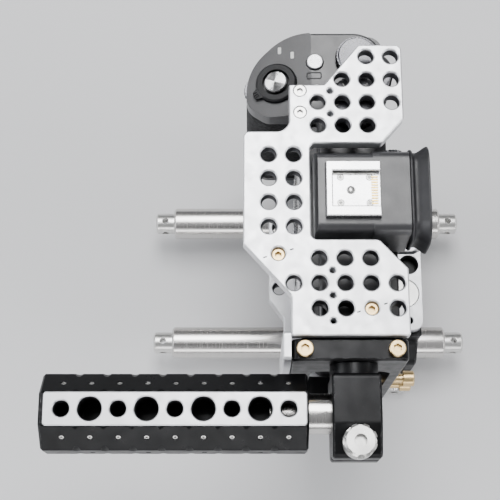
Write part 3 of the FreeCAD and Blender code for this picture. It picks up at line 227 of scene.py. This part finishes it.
def spun_metal(name, colour, centre, axis=Z, rough=(0.22, 0.34), sectors=0.0):
    """Metal spun about a point: concentric rings, painted light and dark sectors standing in for the
    reflection that turns with them, and a painted highlight along the sharp edges.
    """
    p = Paint(name, colour, 1.0)
    offset = p.add("ShaderNodeVectorMath", operation="SUBTRACT")
    p.put(p.place, offset.inputs[0])
    offset.inputs[1].default_value = centre
    turn = p.add("ShaderNodeVectorRotate", rotation_type="AXIS_ANGLE")
    tilt = axis.rotation_difference(Z)
    turn.inputs["Axis"].default_value = tilt.axis if tilt.angle > 1e-6 else X
    turn.inputs["Angle"].default_value = tilt.angle
    p.put(offset.outputs[0], turn.inputs["Vector"])
    parts = p.add("ShaderNodeSeparateXYZ")
    p.put(turn.outputs[0], parts.inputs[0])
    x, y = parts.outputs["X"], parts.outputs["Y"]
    reach = p.maths("SQRT", p.maths("ADD", p.maths("MULTIPLY", x, x), p.maths("MULTIPLY", y, y)))
    rings = p.maths("SINE", p.maths("MULTIPLY", reach, 26000.0))
    angle = p.maths("ARCTAN2", y, x)
    # Painted reflection: light and dark fan sectors round the centre, as a spun face reflects the light.
    fans = p.maths("SINE", p.maths("ADD", p.maths("MULTIPLY", angle, 2.0), 0.5))
    base = p.mix(p.spread(fans, 0.0, sectors, -0.1, 0.35), colour, shade(colour, 0.1))
    base = p.mix(p.spread(p.cloud(160), 0.0, 0.4), base, shade(colour, 0.82))
    gloss = p.spread(rings, rough[0], rough[1], -1.0, 1.0)
    near, normal = p.edges(0.25)
    # Painted highlight: sharp edges are lightened by up to a third, standing in for the light caught on
    # rounded edges.
    return p.finish(p.mix(p.maths("MULTIPLY", near, 0.5), base, shade(colour, 1.3)), gloss,
                    p.bump(rings, 0.004, normal))


def coated_glass(name, colour, glancing_reflection_tint, rough=0.04, metallic=0.0, specular=0.35, coat=0.15):
    """Dark coated glass: a painted reflection tint of the coating shows towards glancing angles, with faint
    dust and wipe marks.
    """
    p = Paint(name, colour, metallic, specular)
    facing = p.add("ShaderNodeLayerWeight").outputs["Facing"]
    # Painted reflection: the base colour turns to the coating's tint as the surface turns away from view.
    base = p.mix(p.spread(facing, 0.0, 1.0, 0.0, 0.7), colour, glancing_reflection_tint)
    dust = p.cloud(1400, 2.0)
    wipes = p.cloud(1.0, 3.0, p.stretched((60, 60, 700)))
    gloss = p.maths("ADD", p.spread(dust, rough, rough + 0.1, 0.6, 0.9), p.spread(wipes, 0.0, 0.04))
    p.shader.inputs["Coat Weight"].default_value = coat
    p.shader.inputs["Coat Roughness"].default_value = 0.03
    return p.finish(base, gloss, p.bump(wipes, 0.0008))


BLACK, WORN = (0.012, 0.0122, 0.0135), (0.34, 0.34, 0.35)
SILVER, STEEL = (0.86, 0.865, 0.885), (0.70, 0.685, 0.67)
finishes = {
    "black_anodised": surface("black_anodised", BLACK, 0.35, (0.27, 0.4), 0.25, 55, 3400, 0.012, WORN),
    "clear_anodised": surface("clear_anodised", SILVER, 0.82, (0.34, 0.46), 0.035, 70, 3200, 0.014,
                              (0.97, 0.97, 0.98), 0.25),
    "rod_steel": turned_metal("rod_steel", STEEL, (0.23, 0.27), (30, 5200, 30), 0.0012, 0.6, 0.02, 0.12),
    "screw_steel": turned_metal("screw_steel", (0.78, 0.775, 0.76), (0.24, 0.36), (4000, 4000, 900), 0.006,
                                0.3),
    "brass": turned_metal("brass", (0.80, 0.62, 0.36), (0.24, 0.38), (3500, 3500, 900), 0.006, 0.3, 0.14),
    "camera_paint": surface("camera_paint", (0.042, 0.042, 0.046), 0.0, (0.34, 0.44), 0.2, 50, 2300, 0.04,
                            (0.16, 0.16, 0.165), 0.3, specular=1.0, coat=0.5),
    "grip_rubber": pebbled("grip_rubber", (0.020, 0.020, 0.022)),
    "soft_rubber": surface("soft_rubber", (0.034, 0.034, 0.038), 0.0, (0.42, 0.56), 0.25, 60, 1900, 0.03,
                           (0.10, 0.10, 0.105), 0.6, specular=0.9),
    "black_plastic": surface("black_plastic", (0.022, 0.022, 0.024), 0.0, (0.32, 0.46), 0.2, 70, 2800, 0.022,
                             (0.09, 0.09, 0.095), 0.25),
    "mount_steel": turned_metal("mount_steel", (0.80, 0.80, 0.81), (0.18, 0.3), (2600, 900, 2600), 0.004,
                                0.4),
    "gold": turned_metal("gold", (0.90, 0.66, 0.26), (0.16, 0.28), (2600, 900, 2600), 0.003, 0.2),
    "board": surface("board", (0.012, 0.085, 0.045), 0.0, (0.2, 0.34), 0.3, 220, 1200, 0.02, coat=0.5),
    # Painted shade: a dark grey for the threads in the silver plates' holes, standing in for the shade inside
    # the holes.
    "thread_shade": turned_metal("thread_shade", (0.20, 0.20, 0.21), (0.3, 0.4), (900, 900, 900), 0.003, 0.0),
    "glass_coated": coated_glass("glass_coated", (0.008, 0.009, 0.012), (0.030, 0.034, 0.060)),
    "sensor": coated_glass("sensor", (0.05, 0.025, 0.09), (0.05, 0.14, 0.12), 0.06, 0.4, 0.7, 0.5),
    "mark_white": surface("mark_white", (0.80, 0.80, 0.78), 0.0, (0.4, 0.5), 0.05, 80, 2000, 0.01),
    "screw_dark": turned_metal("screw_dark", (0.10, 0.10, 0.105), (0.28, 0.4), (3500, 3500, 900), 0.005, 0.2),
    "socket_dark": surface("socket_dark", (0.02, 0.02, 0.022), 0.3, (0.4, 0.6), 0.3, 200, 2500, 0.02),
    "lens_black": surface("lens_black", (0.010, 0.010, 0.011), 0.0, (0.6, 0.8), 0.3, 90, 1500, 0.05),
}


def piece(name, bm, body, finish, sharp=40):
    """A piece on a body, shaded smooth except across edges sharper than the given angle."""
    mesh = bpy.data.meshes.new(name)
    bmesh.ops.recalc_face_normals(bm, faces=bm.faces)
    bm.to_mesh(mesh)
    bm.free()
    mesh.polygons.foreach_set("use_smooth", [True] * len(mesh.polygons))
    mesh.set_sharp_from_angle(angle=math.radians(sharp))
    mesh.materials.append(finishes[finish])
    made = bpy.data.objects.new(name, mesh)
    bpy.context.scene.collection.objects.link(made)
    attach(made, body)
    return made


def modifier(made, kind, **settings):
    added = made.modifiers.new(kind.lower(), kind)
    for key, value in settings.items():
        setattr(added, key, value)


def skin(bm, rings, closed=True, around=True):
    """Faces between rings of points.

    around joins each ring's ends, and closed joins the last ring to the first.
    """
    loops = [[bm.verts.new(p) for p in ring] for ring in rings]
    count = len(loops[0])
    last = len(loops) if closed else len(loops) - 1
    for i in range(last):
        here, there = loops[i], loops[(i + 1) % len(loops)]
        for k in range(count if around else count - 1):
            m = (k + 1) % count
            bm.faces.new((here[k], here[m], there[m], there[k]))
    return loops


def lathe(bm, place, profile, steps=32):
    """Turns (radius, height) points about the place's Z. Radius 0 at an end closes it."""
    rings = []
    for i in range(steps):
        a = 2 * math.pi * i / steps
        rings.append([place @ Vector((r * math.cos(a), r * math.sin(a), h)) for r, h in profile])
    skin(bm, rings, True, False)
    bmesh.ops.remove_doubles(bm, verts=bm.verts, dist=1e-7)


def slab(bm, place, corners, low, high):
    """An outline in the place's XY, as a solid from low to high."""
    bottom = [bm.verts.new(place @ Vector((x, y, low))) for x, y in corners]
    top = [bm.verts.new(place @ Vector((x, y, high))) for x, y in corners]
    bm.faces.new(bottom[::-1])
    bm.faces.new(top)
    for i in range(len(corners)):
        j = (i + 1) % len(corners)
        bm.faces.new((bottom[i], bottom[j], top[j], top[i]))


def rounded(x0, x1, y0, y1, r, steps=6):
    """Corners of a rounded rectangle."""
    points = []
    corners = ((x1 - r, y1 - r, 0), (x0 + r, y1 - r, 90), (x0 + r, y0 + r, 180), (x1 - r, y0 + r, 270))
    for cx, cy, start in corners:
        for i in range(steps + 1):
            a = math.radians(start + 90 * i / steps)
            points.append((cx + r * math.cos(a), cy + r * math.sin(a)))
    return points


def standing(point, up):
    """A place at a point with its own Z along up."""
    return Matrix.Translation(point) @ up.to_track_quat("Z", "Y").to_matrix().to_4x4()


def at(*mm):
    return Vector(mm) * MM


# ---- holes of the CAD nodes, found from their walls, and the threads in them ----------------------------
ROUND_WITHIN = 0.05 * MM                 # facets make a round wall's width and height differ by up to 0.03 mm


def holes_of(node, axis):
    """[(middle, radius, low, high)] of the round holes along an axis number, from the node's own faces."""
    mesh = nodes[node].data
    across = [i for i in range(3) if i != axis]
    group, owner = {}, {}

    def root(k):
        while group[k] != k:
            group[k] = group[group[k]]
            k = group[k]
        return k

    walls = [f for f in mesh.polygons if abs(f.normal[axis]) < 0.05]
    for f in walls:
        group[f.index] = f.index
        for v in f.vertices:
            key = tuple(round(c * 1e5) for c in mesh.vertices[v].co)
            if key in owner:
                group[root(f.index)] = root(owner[key])
            else:
                owner[key] = f.index
    islands = {}
    for f in walls:
        islands.setdefault(root(f.index), []).append(f)
    found = []
    for faces in islands.values():
        points = [mesh.vertices[v].co for f in faces for v in f.vertices]
        low = [min(p[i] for p in points) for i in range(3)]
        high = [max(p[i] for p in points) for i in range(3)]
        wide, tall = high[across[0]] - low[across[0]], high[across[1]] - low[across[1]]
        middle = Vector([(a + b) / 2 for a, b in zip(low, high)])
        inward = sum(f.normal.dot(middle - f.center) > 0 for f in faces)
        if len(faces) > 8 and abs(wide - tall) < ROUND_WITHIN and inward > 0.95 * len(faces):
            found.append((middle, wide / 2, low[axis], high[axis]))
    return sorted(found, key=lambda h: tuple(round(c, 5) for c in h[0]))


def thread(bm, middle, axis, radius, low, high, pitch, depth, steps):
    """The helical ridge of one threaded hole."""
    u, v = [i for i in range(3) if i != axis]
    flank = pitch * 0.46
    start, end = low + flank, high - flank
    count = max(2, int((end - start) / pitch * steps))
    rings = []
    for i in range(count + 1):
        a = 2 * math.pi * i / steps
        along = start + (end - start) * i / count
        fade = min(1.0, i / 6, (count - i) / 6)
        ring = []
        for r, shift in ((radius + 0.02 * MM, -flank), (radius - depth * fade, -0.06 * pitch),
                         (radius - depth * fade, 0.06 * pitch), (radius + 0.02 * MM, flank)):
            p = Vector((0, 0, 0))
            p[u], p[v] = middle[u] + r * math.cos(a), middle[v] + r * math.sin(a)
            p[axis] = along + shift
            ring.append(p)
        rings.append(ring)
    skin(bm, rings, False, False)


# radius of a tapped hole: (pitch, depth, steps in a turn), in mm
THREAD_SIZES = {3.0: (1.27, 0.36, 20), 4.4: (1.5875, 0.42, 24), 1.7: (0.7, 0.17, 12)}
QUARTER_INCH, THREE_EIGHTHS, SMALL = 3.0, 4.4, 1.7


def threads(node, body, axis, finish, sizes=(SMALL, QUARTER_INCH, THREE_EIGHTHS)):
    """Threads in every hole of a size that a screw takes."""
    bm = bmesh.new()
    for middle, radius, low, high in holes_of(node, axis):
        size = round(radius / MM, 1)
        if size in sizes and high - low > 2 * MM:
            pitch, depth, steps = THREAD_SIZES[size]
            thread(bm, middle, axis, radius, low, high, pitch * MM, depth * MM, steps)
    piece(node + "_threads", bm, body, finish)


# ---- finishes of the CAD nodes --------------------------------------------------------------------------
for node, thing in nodes.items():
    for i, own in enumerate(thing.data.materials):
        thing.data.materials[i] = finishes.get(own.name.split(".")[0], finishes["black_plastic"])


def middle_of(node):
    low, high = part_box(node)
    return (low + high) / 2


def refinish(node, material):
    for i in range(len(nodes[node].data.materials)):
        nodes[node].data.materials[i] = material


TOP_SLOPE = math.radians(11)             # the cover falls towards the shutter button
slope_up = Matrix.Rotation(TOP_SLOPE, 3, "X") @ Z
refinish("shutter_button", spun_metal("shutter_metal", (0.92, 0.92, 0.93), middle_of("shutter_button"),
                                      slope_up, (0.16, 0.24), 1.0))
for dial in ("mode_dial", "exposure_dial", "rear_dial", "front_dial"):
    refinish(dial, spun_metal(dial + "_metal", (0.17, 0.17, 0.18), middle_of(dial)))
for button in ("c1_button", "c2_button"):
    refinish(button, spun_metal(button + "_metal", (0.55, 0.55, 0.565), middle_of(button)))
refinish("mount_throat", finishes["lens_black"])

refinish("diopter_wheel", finishes["screw_dark"])

# The plates' threads take the dark grey thread_shade finish as painted shade inside the holes.
for node in ("cage_top_plate", "cage_bottom_plate", "cheese_plate_right", "cheese_plate_left"):
    threads(node, "rig", 2, "thread_shade")
threads("handle_cheese_bar", "handle", 2, "thread_shade")
threads("rod_block", "rig", 2, "black_anodised", (THREE_EIGHTHS,))


# ---- soft pieces ----------------------------------------------------------------------------------------
def softened(node, name, body, finish, voxel, smoothing, cell=0.0, height=0.0, swell=0.0):
    """A moulded rubber piece: the node's shape with its edges relaxed, crowned and pebbled."""
    copy = bpy.data.objects.new(name + "_form", nodes[node].data.copy())
    bpy.context.scene.collection.objects.link(copy)
    modifier(copy, "REMESH", mode="VOXEL", voxel_size=voxel * MM)
    modifier(copy, "SMOOTH", factor=0.5, iterations=smoothing)
    bpy.context.view_layer.update()
    graph = bpy.context.evaluated_depsgraph_get()
    mesh = bpy.data.meshes.new_from_object(copy.evaluated_get(graph))
    bpy.data.objects.remove(copy)
    bm = bmesh.new()
    bm.from_mesh(mesh)
    bpy.data.meshes.remove(mesh)
    bm.normal_update()
    for v in bm.verts:
        lift = swell
        if cell:
            near = noise.voronoi(v.co / (cell * MM))[0]
            lift += height * min(1.0, (near[1] - near[0]) * 2.2)
        v.co += v.normal * lift * MM
    made = piece(name, bm, body, finish, sharp=75)
    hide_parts(node)
    return made


softened("grip_rubber", "grip_skin", "rig", "grip_rubber", 0.55, 4, 1.7, 0.14, -0.06)
softened("port_door", "port_cover", "port_door", "soft_rubber", 0.5, 4, 0, 0, 0.05)


def eyecup():
    """A trumpet of rubber: pinched behind the eyepiece block and rolled over at its rim."""
    low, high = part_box("eyecup")
    centre = (low + high) / 2
    half_x, half_z = (high.x - low.x) / 2, (high.z - low.z) / 2
    depth = high.y - low.y
    # share of the depth, inset of the outline in mm
    profile = [(0.0, 3.4), (0.0, 1.9), (0.04, 1.45), (0.12, 1.35), (0.18, 1.7), (0.21, 2.5), (0.28, 2.75),
               (0.42, 2.55), (0.56, 1.95), (0.72, 1.05), (0.86, 0.35), (0.95, 0.05), (1.0, 0.35),
               (0.985, 0.9), (0.93, 1.35), (0.82, 2.0), (0.68, 2.9), (0.5, 4.2), (0.3, 5.2), (0.12, 5.9),
               (0.0, 6.0)]
    rings = []
    for share, inset in profile:
        i = inset * MM
        corner = max(2.5 * MM, 9 * MM - i)
        outline = rounded(-half_x + i, half_x - i, -half_z + i, half_z - i, corner, 9)
        rings.append([Vector((centre.x + a, low.y + share * depth, centre.z + b)) for a, b in outline])
    bm = bmesh.new()
    skin(bm, rings, True, True)
    made = piece("eyecup_rubber", bm, "rig", "soft_rubber", sharp=70)
    modifier(made, "SUBSURF", levels=2, render_levels=2)
    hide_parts("eyecup")


eyecup()


def patch(name, body, finish, place, corners_of, width, length, thick, crown=0.0, cell=0.0, height=0.0,
          step=0.8):
    """A thin pad on a face: a grid over an outline, crowned in the middle and turned down at its rim."""
    across, along = max(4, int(width / step)), max(4, int(length / step))
    bm = bmesh.new()
    rings = []
    for j in range(along + 1):
        t = j / along
        ring = []
        for i in range(across + 1):
            s = i / across
            x, y = corners_of(s, t)
            rim = min(s, 1 - s) * width, min(t, 1 - t) * length
            drop = min(1.0, min(rim) / 0.9)
            z = thick * math.sin(drop * math.pi / 2) + crown * math.sin(s * math.pi) * math.sin(t * math.pi)
            p = place @ Vector((x * MM, y * MM, 0))
            if cell and drop >= 1:
                near = noise.voronoi(p / (cell * MM))[0]
                z += height * min(1.0, (near[1] - near[0]) * 2.2)
            ring.append(place @ Vector((x * MM, y * MM, (z - 0.02) * MM)))
        rings.append(ring)
    skin(bm, rings, False, False)
    return piece(name, bm, body, finish, sharp=75)


FRONT_Y = -30.0 * MM                     # the body's front face


def front_leather():
    """The grained covering on the body's front, left of the lens mount."""
    low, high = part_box("front_shell")
    x0, x1 = 33.6, high.x / MM - 7.2
    z0, z1 = low.z / MM + 1.5, high.z / MM - 1.5
    place = Matrix(((-1, 0, 0, 0), (0, 0, -1, FRONT_Y), (0, 1, 0, 0), (0, 0, 0, 1)))
    patch("front_leather", "rig", "grip_rubber", place,
          lambda s, t: (-(x0 + (x1 - x0) * s), z0 + (z1 - z0) * t), x1 - x0, z1 - z0,
          0.35, 0.0, 1.7, 0.12, 0.7)


front_leather()


def thumb_pad():
    """The grained pad on the thumb rest at the back."""
    low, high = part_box("rear_shell")
    x0, x1, z0, z1 = low.x / MM + 8.6, low.x / MM + 12.0, 87.0, 124.0
    place = Matrix(((1, 0, 0, 0), (0, 0, 1, high.y), (0, 1, 0, 0), (0, 0, 0, 1)))
    patch("thumb_pad", "rig", "grip_rubber", place,
          lambda s, t: (x0 + (x1 - x0) * s, z0 + (z1 - z0) * t), x1 - x0, z1 - z0, 0.5, 0.3, 1.7, 0.1, 0.5)


thumb_pad()


# ---- small hard pieces ----------------------------------------------------------------------------------
def box_of(bm, place, x, y, z):
    """A block with x, y and z ranges in mm, in a place."""
    corners = [(x[0] * MM, y[0] * MM), (x[1] * MM, y[0] * MM), (x[1] * MM, y[1] * MM), (x[0] * MM, y[1] * MM)]
    slab(bm, place, corners, z[0] * MM, z[1] * MM)


def eased(made, width=0.08):
    modifier(made, "BEVEL", width=width * MM, segments=2, limit_method="ANGLE")
    return made


def shoe_details():
    """Springs under the shoe's lips, its centre contact, four screws and a comb of small contacts."""
    low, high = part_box("hot_shoe")
    x0, x1, y0, y1 = low.x / MM, high.x / MM, low.y / MM, high.y / MM
    floor_z = high.z / MM - 2.9
    here = Matrix.Identity(4)
    bm = bmesh.new()
    box_of(bm, here, (x0 + 1.8, x0 + 4.6), (y0 + 2.7, y1 - 1.2), (floor_z, floor_z + 0.35))
    box_of(bm, here, (x1 - 4.6, x1 - 1.8), (y0 + 2.7, y1 - 1.2), (floor_z, floor_z + 0.35))
    eased(piece("shoe_springs", bm, "rig", "screw_steel"))
    bm = bmesh.new()
    for i in range(11):
        x = (x0 + x1) / 2 + (i - 5) * 1.05
        box_of(bm, here, (x - 0.28, x + 0.28), (y1 - 3.4, y1 - 0.9), (floor_z, floor_z + 0.3))
    eased(piece("shoe_contacts", bm, "rig", "gold"), 0.05)
    bm = bmesh.new()
    lathe(bm, Matrix.Translation(at((x0 + x1) / 2, (y0 + y1) / 2 - 0.8, floor_z - 0.45)),
          [(0, 0), (1.45 * MM, 0), (1.45 * MM, 0.35 * MM), (0.8 * MM, 0.75 * MM), (0, 0.75 * MM)], 24)
    piece("shoe_centre_contact", bm, "rig", "screw_steel")
    bm = bmesh.new()
    for x in (x0 + 5.7, x1 - 5.7):
        for y in (y0 + 5.6, y1 - 4.0):
            screw_head(bm, Matrix.Translation(at(x, y, floor_z - 0.42)), 1.15, 0.42)
    piece("shoe_screws", bm, "rig", "screw_steel")


def screw_head(bm, place, radius, height):
    """A small cross-slotted head that stands on its place."""
    r, h = radius * MM, height * MM
    steps = 24
    turns = [2 * math.pi * i / steps for i in range(steps)]
    rings = []
    for share, base in ((1.0, 0.0), (1.0, 0.7), (0.9, 1.0), (0.62, 1.0), (0.55, 1.0), (0.3, 1.0)):
        ring = []
        for a in turns:
            sunk = 0.45 * h if abs(math.cos(2 * a)) > 0.86 and share < 0.6 else 0.0
            ring.append(place @ Vector((r * share * math.cos(a), r * share * math.sin(a), h * base - sunk)))
        rings.append(ring)
    loops = skin(bm, rings, False, True)
    centre = bm.verts.new(place @ Vector((0, 0, 0.5 * h)))
    last = loops[-1]
    for i in range(steps):
        bm.faces.new((last[i], last[(i + 1) % steps], centre))
    bm.faces.new(loops[0][::-1])


def set_screw(bm, place, radius, depth):
    """A headless screw with a round socket, flush in its hole."""
    r, d = radius * MM, depth * MM
    profile = [(0, -d), (r, -d), (r, 0), (r * 0.86, 0.06 * r), (r * 0.5, 0.06 * r), (r * 0.5, -d * 0.6),
               (0, -d * 0.7)]
    lathe(bm, place, profile, 18)


def handle_set_screws():
    """Bright set screws in the small holes along the handle's facets."""
    low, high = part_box("handle_cheese_bar")
    axis_below_bar, reach, pitch, count = 14.3, 13.75, 10.2, 9
    axis_x, axis_z = (low.x + high.x) / 2, high.z - axis_below_bar * MM
    middle_y = (low.y + high.y) / 2
    bm = bmesh.new()
    for i in range(count):
        y = middle_y + (i - count // 2) * pitch * MM
        for degrees in (-45, 45) + ((-90, 90) if i % 2 else ()):
            out = Matrix.Rotation(math.radians(degrees), 3, "Y") @ Z
            point = Vector((axis_x, y, axis_z)) + out * reach * MM
            set_screw(bm, standing(point, out), 0.93, 1.2)
    piece("handle_set_screws", bm, "handle", "screw_steel")


def dial_marks(node, body, count, start, step, inner, length, width=0.45):
    """White ticks round the top of a dial, the middle one longer."""
    low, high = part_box(node)
    centre = (low + high) / 2
    bm = bmesh.new()
    for i in range(count):
        a = math.radians(start + step * i)
        place = Matrix.Translation((centre.x, centre.y, high.z)) @ Matrix.Rotation(a, 4, "Z")
        long = length * (1.5 if i == count // 2 else 1.0)
        box_of(bm, place, (inner, inner + long), (-width / 2, width / 2), (-0.05, 0.04))
    piece(node + "_marks", bm, body, "mark_white")


def top_marks():
    """Small white marks by the power switch and a framed window between the two custom buttons."""
    slope_start, slope_top = -32.0, 142.0
    bm = bmesh.new()
    for x, y in ((-65.6, -44.7), (-63.2, -39.6)):
        z = slope_top - (slope_start - y) * math.tan(TOP_SLOPE)
        place = Matrix.Translation(at(x, y, z)) @ Matrix.Rotation(TOP_SLOPE, 4, "X")
        mark = [(a * MM, b * MM) for a, b in rounded(-1.5, 1.5, -0.7, 0.7, 0.4, 4)]
        slab(bm, place, mark, -0.05 * MM, 0.05 * MM)
    piece("power_marks", bm, "rig", "mark_white")
    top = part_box("rear_shell")[1].z + 3.95 * MM
    place = Matrix.Translation(Vector((-53.6 * MM, -31.0 * MM, top)))
    bm = bmesh.new()
    outer = [(a * MM, b * MM) for a, b in rounded(-1.5, 1.5, -3.1, 3.1, 0.8, 4)]
    inner = [(a * MM, b * MM) for a, b in rounded(-1.05, 1.05, -2.65, 2.65, 0.5, 4)]
    rings = [[place @ Vector((x, y, z * MM)) for x, y in ring] for ring, z in
             ((outer, -0.1), (outer, 0.12), (inner, 0.12), (inner, -0.1))]
    skin(bm, rings, True, True)
    piece("window_frame", bm, "rig", "black_plastic")


def plate_marks():
    """Scribed dashes either side of the two brass screws in the cage's top plate."""
    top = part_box("cage_top_plate")[1].z
    bm = bmesh.new()
    for low, high in solids_of("cage_brass_screws"):
        if abs(high.z - top) > 2.5 * MM or low.z < top - 12 * MM:
            continue
        place = Vector(((low.x + high.x) / 2, (low.y + high.y) / 2, top))
        turn = Matrix.Translation(place) @ Matrix.Rotation(math.radians(107), 4, "Z")
        for side in (-1, 1):
            box_of(bm, turn, (side * 5.2 - 0.7, side * 5.2 + 0.7), (-0.24, 0.24), (-0.06, 0.02))
    piece("plate_marks", bm, "rig", "socket_dark")


def solids_of(node):
    """[(lowest corner, highest corner)] of each separate solid of a node."""
    mesh = nodes[node].data
    bm = bmesh.new()
    bm.from_mesh(mesh)
    bmesh.ops.remove_doubles(bm, verts=bm.verts, dist=1e-6)
    seen, found = set(), []
    for start in bm.verts:
        if start in seen:
            continue
        stack, points = [start], []
        seen.add(start)
        while stack:
            v = stack.pop()
            points.append(v.co.copy())
            for edge in v.link_edges:
                other = edge.other_vert(v)
                if other not in seen:
                    seen.add(other)
                    stack.append(other)
        low = [min(p[i] for p in points) for i in range(3)]
        high = [max(p[i] for p in points) for i in range(3)]
        found.append((Vector(low), Vector(high)))
    bm.free()
    return sorted(found, key=lambda pair: tuple(round(c, 5) for c in pair[0]))


def mount_index():
    """The white alignment bead on the lens mount's ring."""
    low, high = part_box("lens_mount")
    centre = (low + high) / 2
    a, reach = math.radians(118), 26.6 * MM
    point = Vector((centre.x + reach * math.cos(a), low.y + 0.02 * MM, centre.z + reach * math.sin(a)))
    bm = bmesh.new()
    bead = [(0, -0.3), (1.3, -0.3), (1.3, 0.1), (1.0, 0.32), (0.5, 0.42), (0, 0.45)]
    lathe(bm, standing(point, -Y), [(r * MM, h * MM) for r, h in bead], 28)
    piece("mount_index", bm, "rig", "mark_white")


def base_screws():
    """Cross-slotted screws in the camera's base and a ribbed latch on the battery door."""
    here = Matrix.Identity(4)
    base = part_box("bottom_cover")[0].z / MM
    bm = bmesh.new()
    for x, y in ((-66, -24), (-44, -7), (-30, -26), (50, -26), (50, -7)):
        screw_head(bm, standing(at(x, y, base + 0.05), -Z), 1.5, 0.32)
    piece("base_screws", bm, "rig", "screw_dark")
    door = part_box("battery_door")[0].z / MM
    bm = bmesh.new()
    box_of(bm, here, (-61.0, -57.0), (-42.5, -35.5), (door + 0.1, door + 0.8))
    for i in range(5):
        y = -41.4 + i * 1.2
        box_of(bm, here, (-60.6, -57.4), (y, y + 0.5), (door - 0.15, door + 0.12))
    eased(piece("door_latch", bm, "battery_door", "black_plastic"))


plate_marks()
shoe_details()
handle_set_screws()
dial_marks("exposure_dial", "exposure_dial", 24, 0, 15, 5.4, 1.5, 0.3)
dial_marks("mode_dial", "mode_dial", 10, 0, 36, 7.0, 1.4, 0.5)
top_marks()
mount_index()
base_screws()


# ---- stage, light and camera ----------------------------------------------------------------------------
BACKDROP, BACKDROP_STRENGTH = (0.97, 0.98, 1.0), 0.55


def floor():
    """A pale floor that fades into the background's tone away from the rig, so no horizon shows."""
    bm = bmesh.new()
    reach = 1.6
    steps = 24
    rings = [[Vector((-reach + 2 * reach * i / steps, -reach + 2 * reach * j / steps, -0.0002))
              for i in range(steps + 1)] for j in range(steps + 1)]
    skin(bm, rings, False, False)
    mesh = bpy.data.meshes.new("floor")
    bm.to_mesh(mesh)
    bm.free()
    ground = bpy.data.objects.new("floor", mesh)
    bpy.context.scene.collection.objects.link(ground)
    p = Paint("floor_paint", (0.80, 0.80, 0.81), 0.0, 0.2)
    p.finish(p.mix(p.cloud(3.0), (0.78, 0.78, 0.79), (0.82, 0.82, 0.83)), p.spread(p.cloud(20.0), 0.6, 0.7))
    far = p.add("ShaderNodeVectorMath", operation="LENGTH")
    p.put(p.place, far.inputs[0])
    fade = p.spread(far.outputs["Value"], 0.0, 1.0, 0.4, 1.4)
    seen = p.maths("MULTIPLY", fade, p.add("ShaderNodeLightPath").outputs["Is Camera Ray"])
    glow = p.add("ShaderNodeEmission")
    glow.inputs["Color"].default_value = (*BACKDROP, 1)
    glow.inputs["Strength"].default_value = BACKDROP_STRENGTH
    both = p.add("ShaderNodeMixShader")
    p.put(seen, both.inputs[0])
    p.put(p.shader.outputs[0], both.inputs[1])
    p.put(glow.outputs[0], both.inputs[2])
    p.put(both.outputs[0], p.tree.nodes["Material Output"].inputs["Surface"])
    mesh.materials.append(p.material)


def area_light(name, position, target, size, power, colour=(1, 1, 1)):
    lamp = bpy.data.lights.new(name, "AREA")
    lamp.shape = "RECTANGLE"
    lamp.size, lamp.size_y = size
    lamp.energy = power
    lamp.color = colour
    thing = bpy.data.objects.new(name, lamp)
    bpy.context.scene.collection.objects.link(thing)
    thing.location = position
    thing.rotation_mode = "QUATERNION"
    thing.rotation_quaternion = (Vector(target) - Vector(position)).to_track_quat("-Z", "Y")


def world():
    made = bpy.data.worlds.new("studio")
    bpy.context.scene.world = made
    made.use_nodes = True
    tree = made.node_tree
    back = tree.nodes["Background"]
    place = tree.nodes.new("ShaderNodeTexCoord")
    parts = tree.nodes.new("ShaderNodeSeparateXYZ")
    ramp = tree.nodes.new("ShaderNodeMapRange")
    tree.links.new(place.outputs["Generated"], parts.inputs[0])
    tree.links.new(parts.outputs["Z"], ramp.inputs["Value"])
    for socket, number in zip(("From Min", "From Max", "To Min", "To Max"), (-0.1, 1.0, 0.07, 0.42)):
        ramp.inputs[socket].default_value = number
    path = tree.nodes.new("ShaderNodeLightPath")
    seen = tree.nodes.new("ShaderNodeMix")
    tree.links.new(path.outputs["Is Camera Ray"], seen.inputs["Factor"])
    tree.links.new(ramp.outputs["Result"], seen.inputs["A"])
    seen.inputs["B"].default_value = BACKDROP_STRENGTH
    tree.links.new(seen.outputs["Result"], back.inputs["Strength"])
    back.inputs["Color"].default_value = (*BACKDROP, 1)


def camera():
    """Looks down on the rig from its left side, with the lens side to the left of the frame."""
    target = (cad_low + cad_high) / 2 + at(-12, -13, 0)
    azimuth, elevation, distance = math.radians(90), math.radians(74), 0.515
    back = Vector((math.sin(azimuth) * math.cos(elevation), -math.cos(azimuth) * math.cos(elevation),
                   math.sin(elevation)))
    seen = bpy.data.cameras.new("camera")
    seen.lens = 85
    seen.clip_start, seen.clip_end = 0.02, 20
    thing = bpy.data.objects.new("camera", seen)
    bpy.context.scene.collection.objects.link(thing)
    thing.rotation_mode = "QUATERNION"
    thing.rotation_quaternion = (-back).to_track_quat("-Z", "Y")
    thing.location = target + back * distance
    bpy.context.scene.camera = thing


floor()
world()
AIM = (0, -0.03, 0.1)
area_light("key", (-0.40, -0.05, 1.05), AIM, (0.45, 0.75), 6.5)
area_light("left_fill", (0.1, -1.0, 0.55), AIM, (0.7, 0.5), 4.5, (0.96, 0.98, 1.0))
area_light("rear_rim", (0.3, 0.9, 0.5), AIM, (0.6, 0.4), 3.5)
area_light("low_strip", (0.95, -0.1, 0.35), AIM, (0.9, 0.3), 2.4)
camera()
bpy.context.scene.view_settings.view_transform = "AgX"
bpy.context.scene.view_settings.look = "AgX - Medium High Contrast"
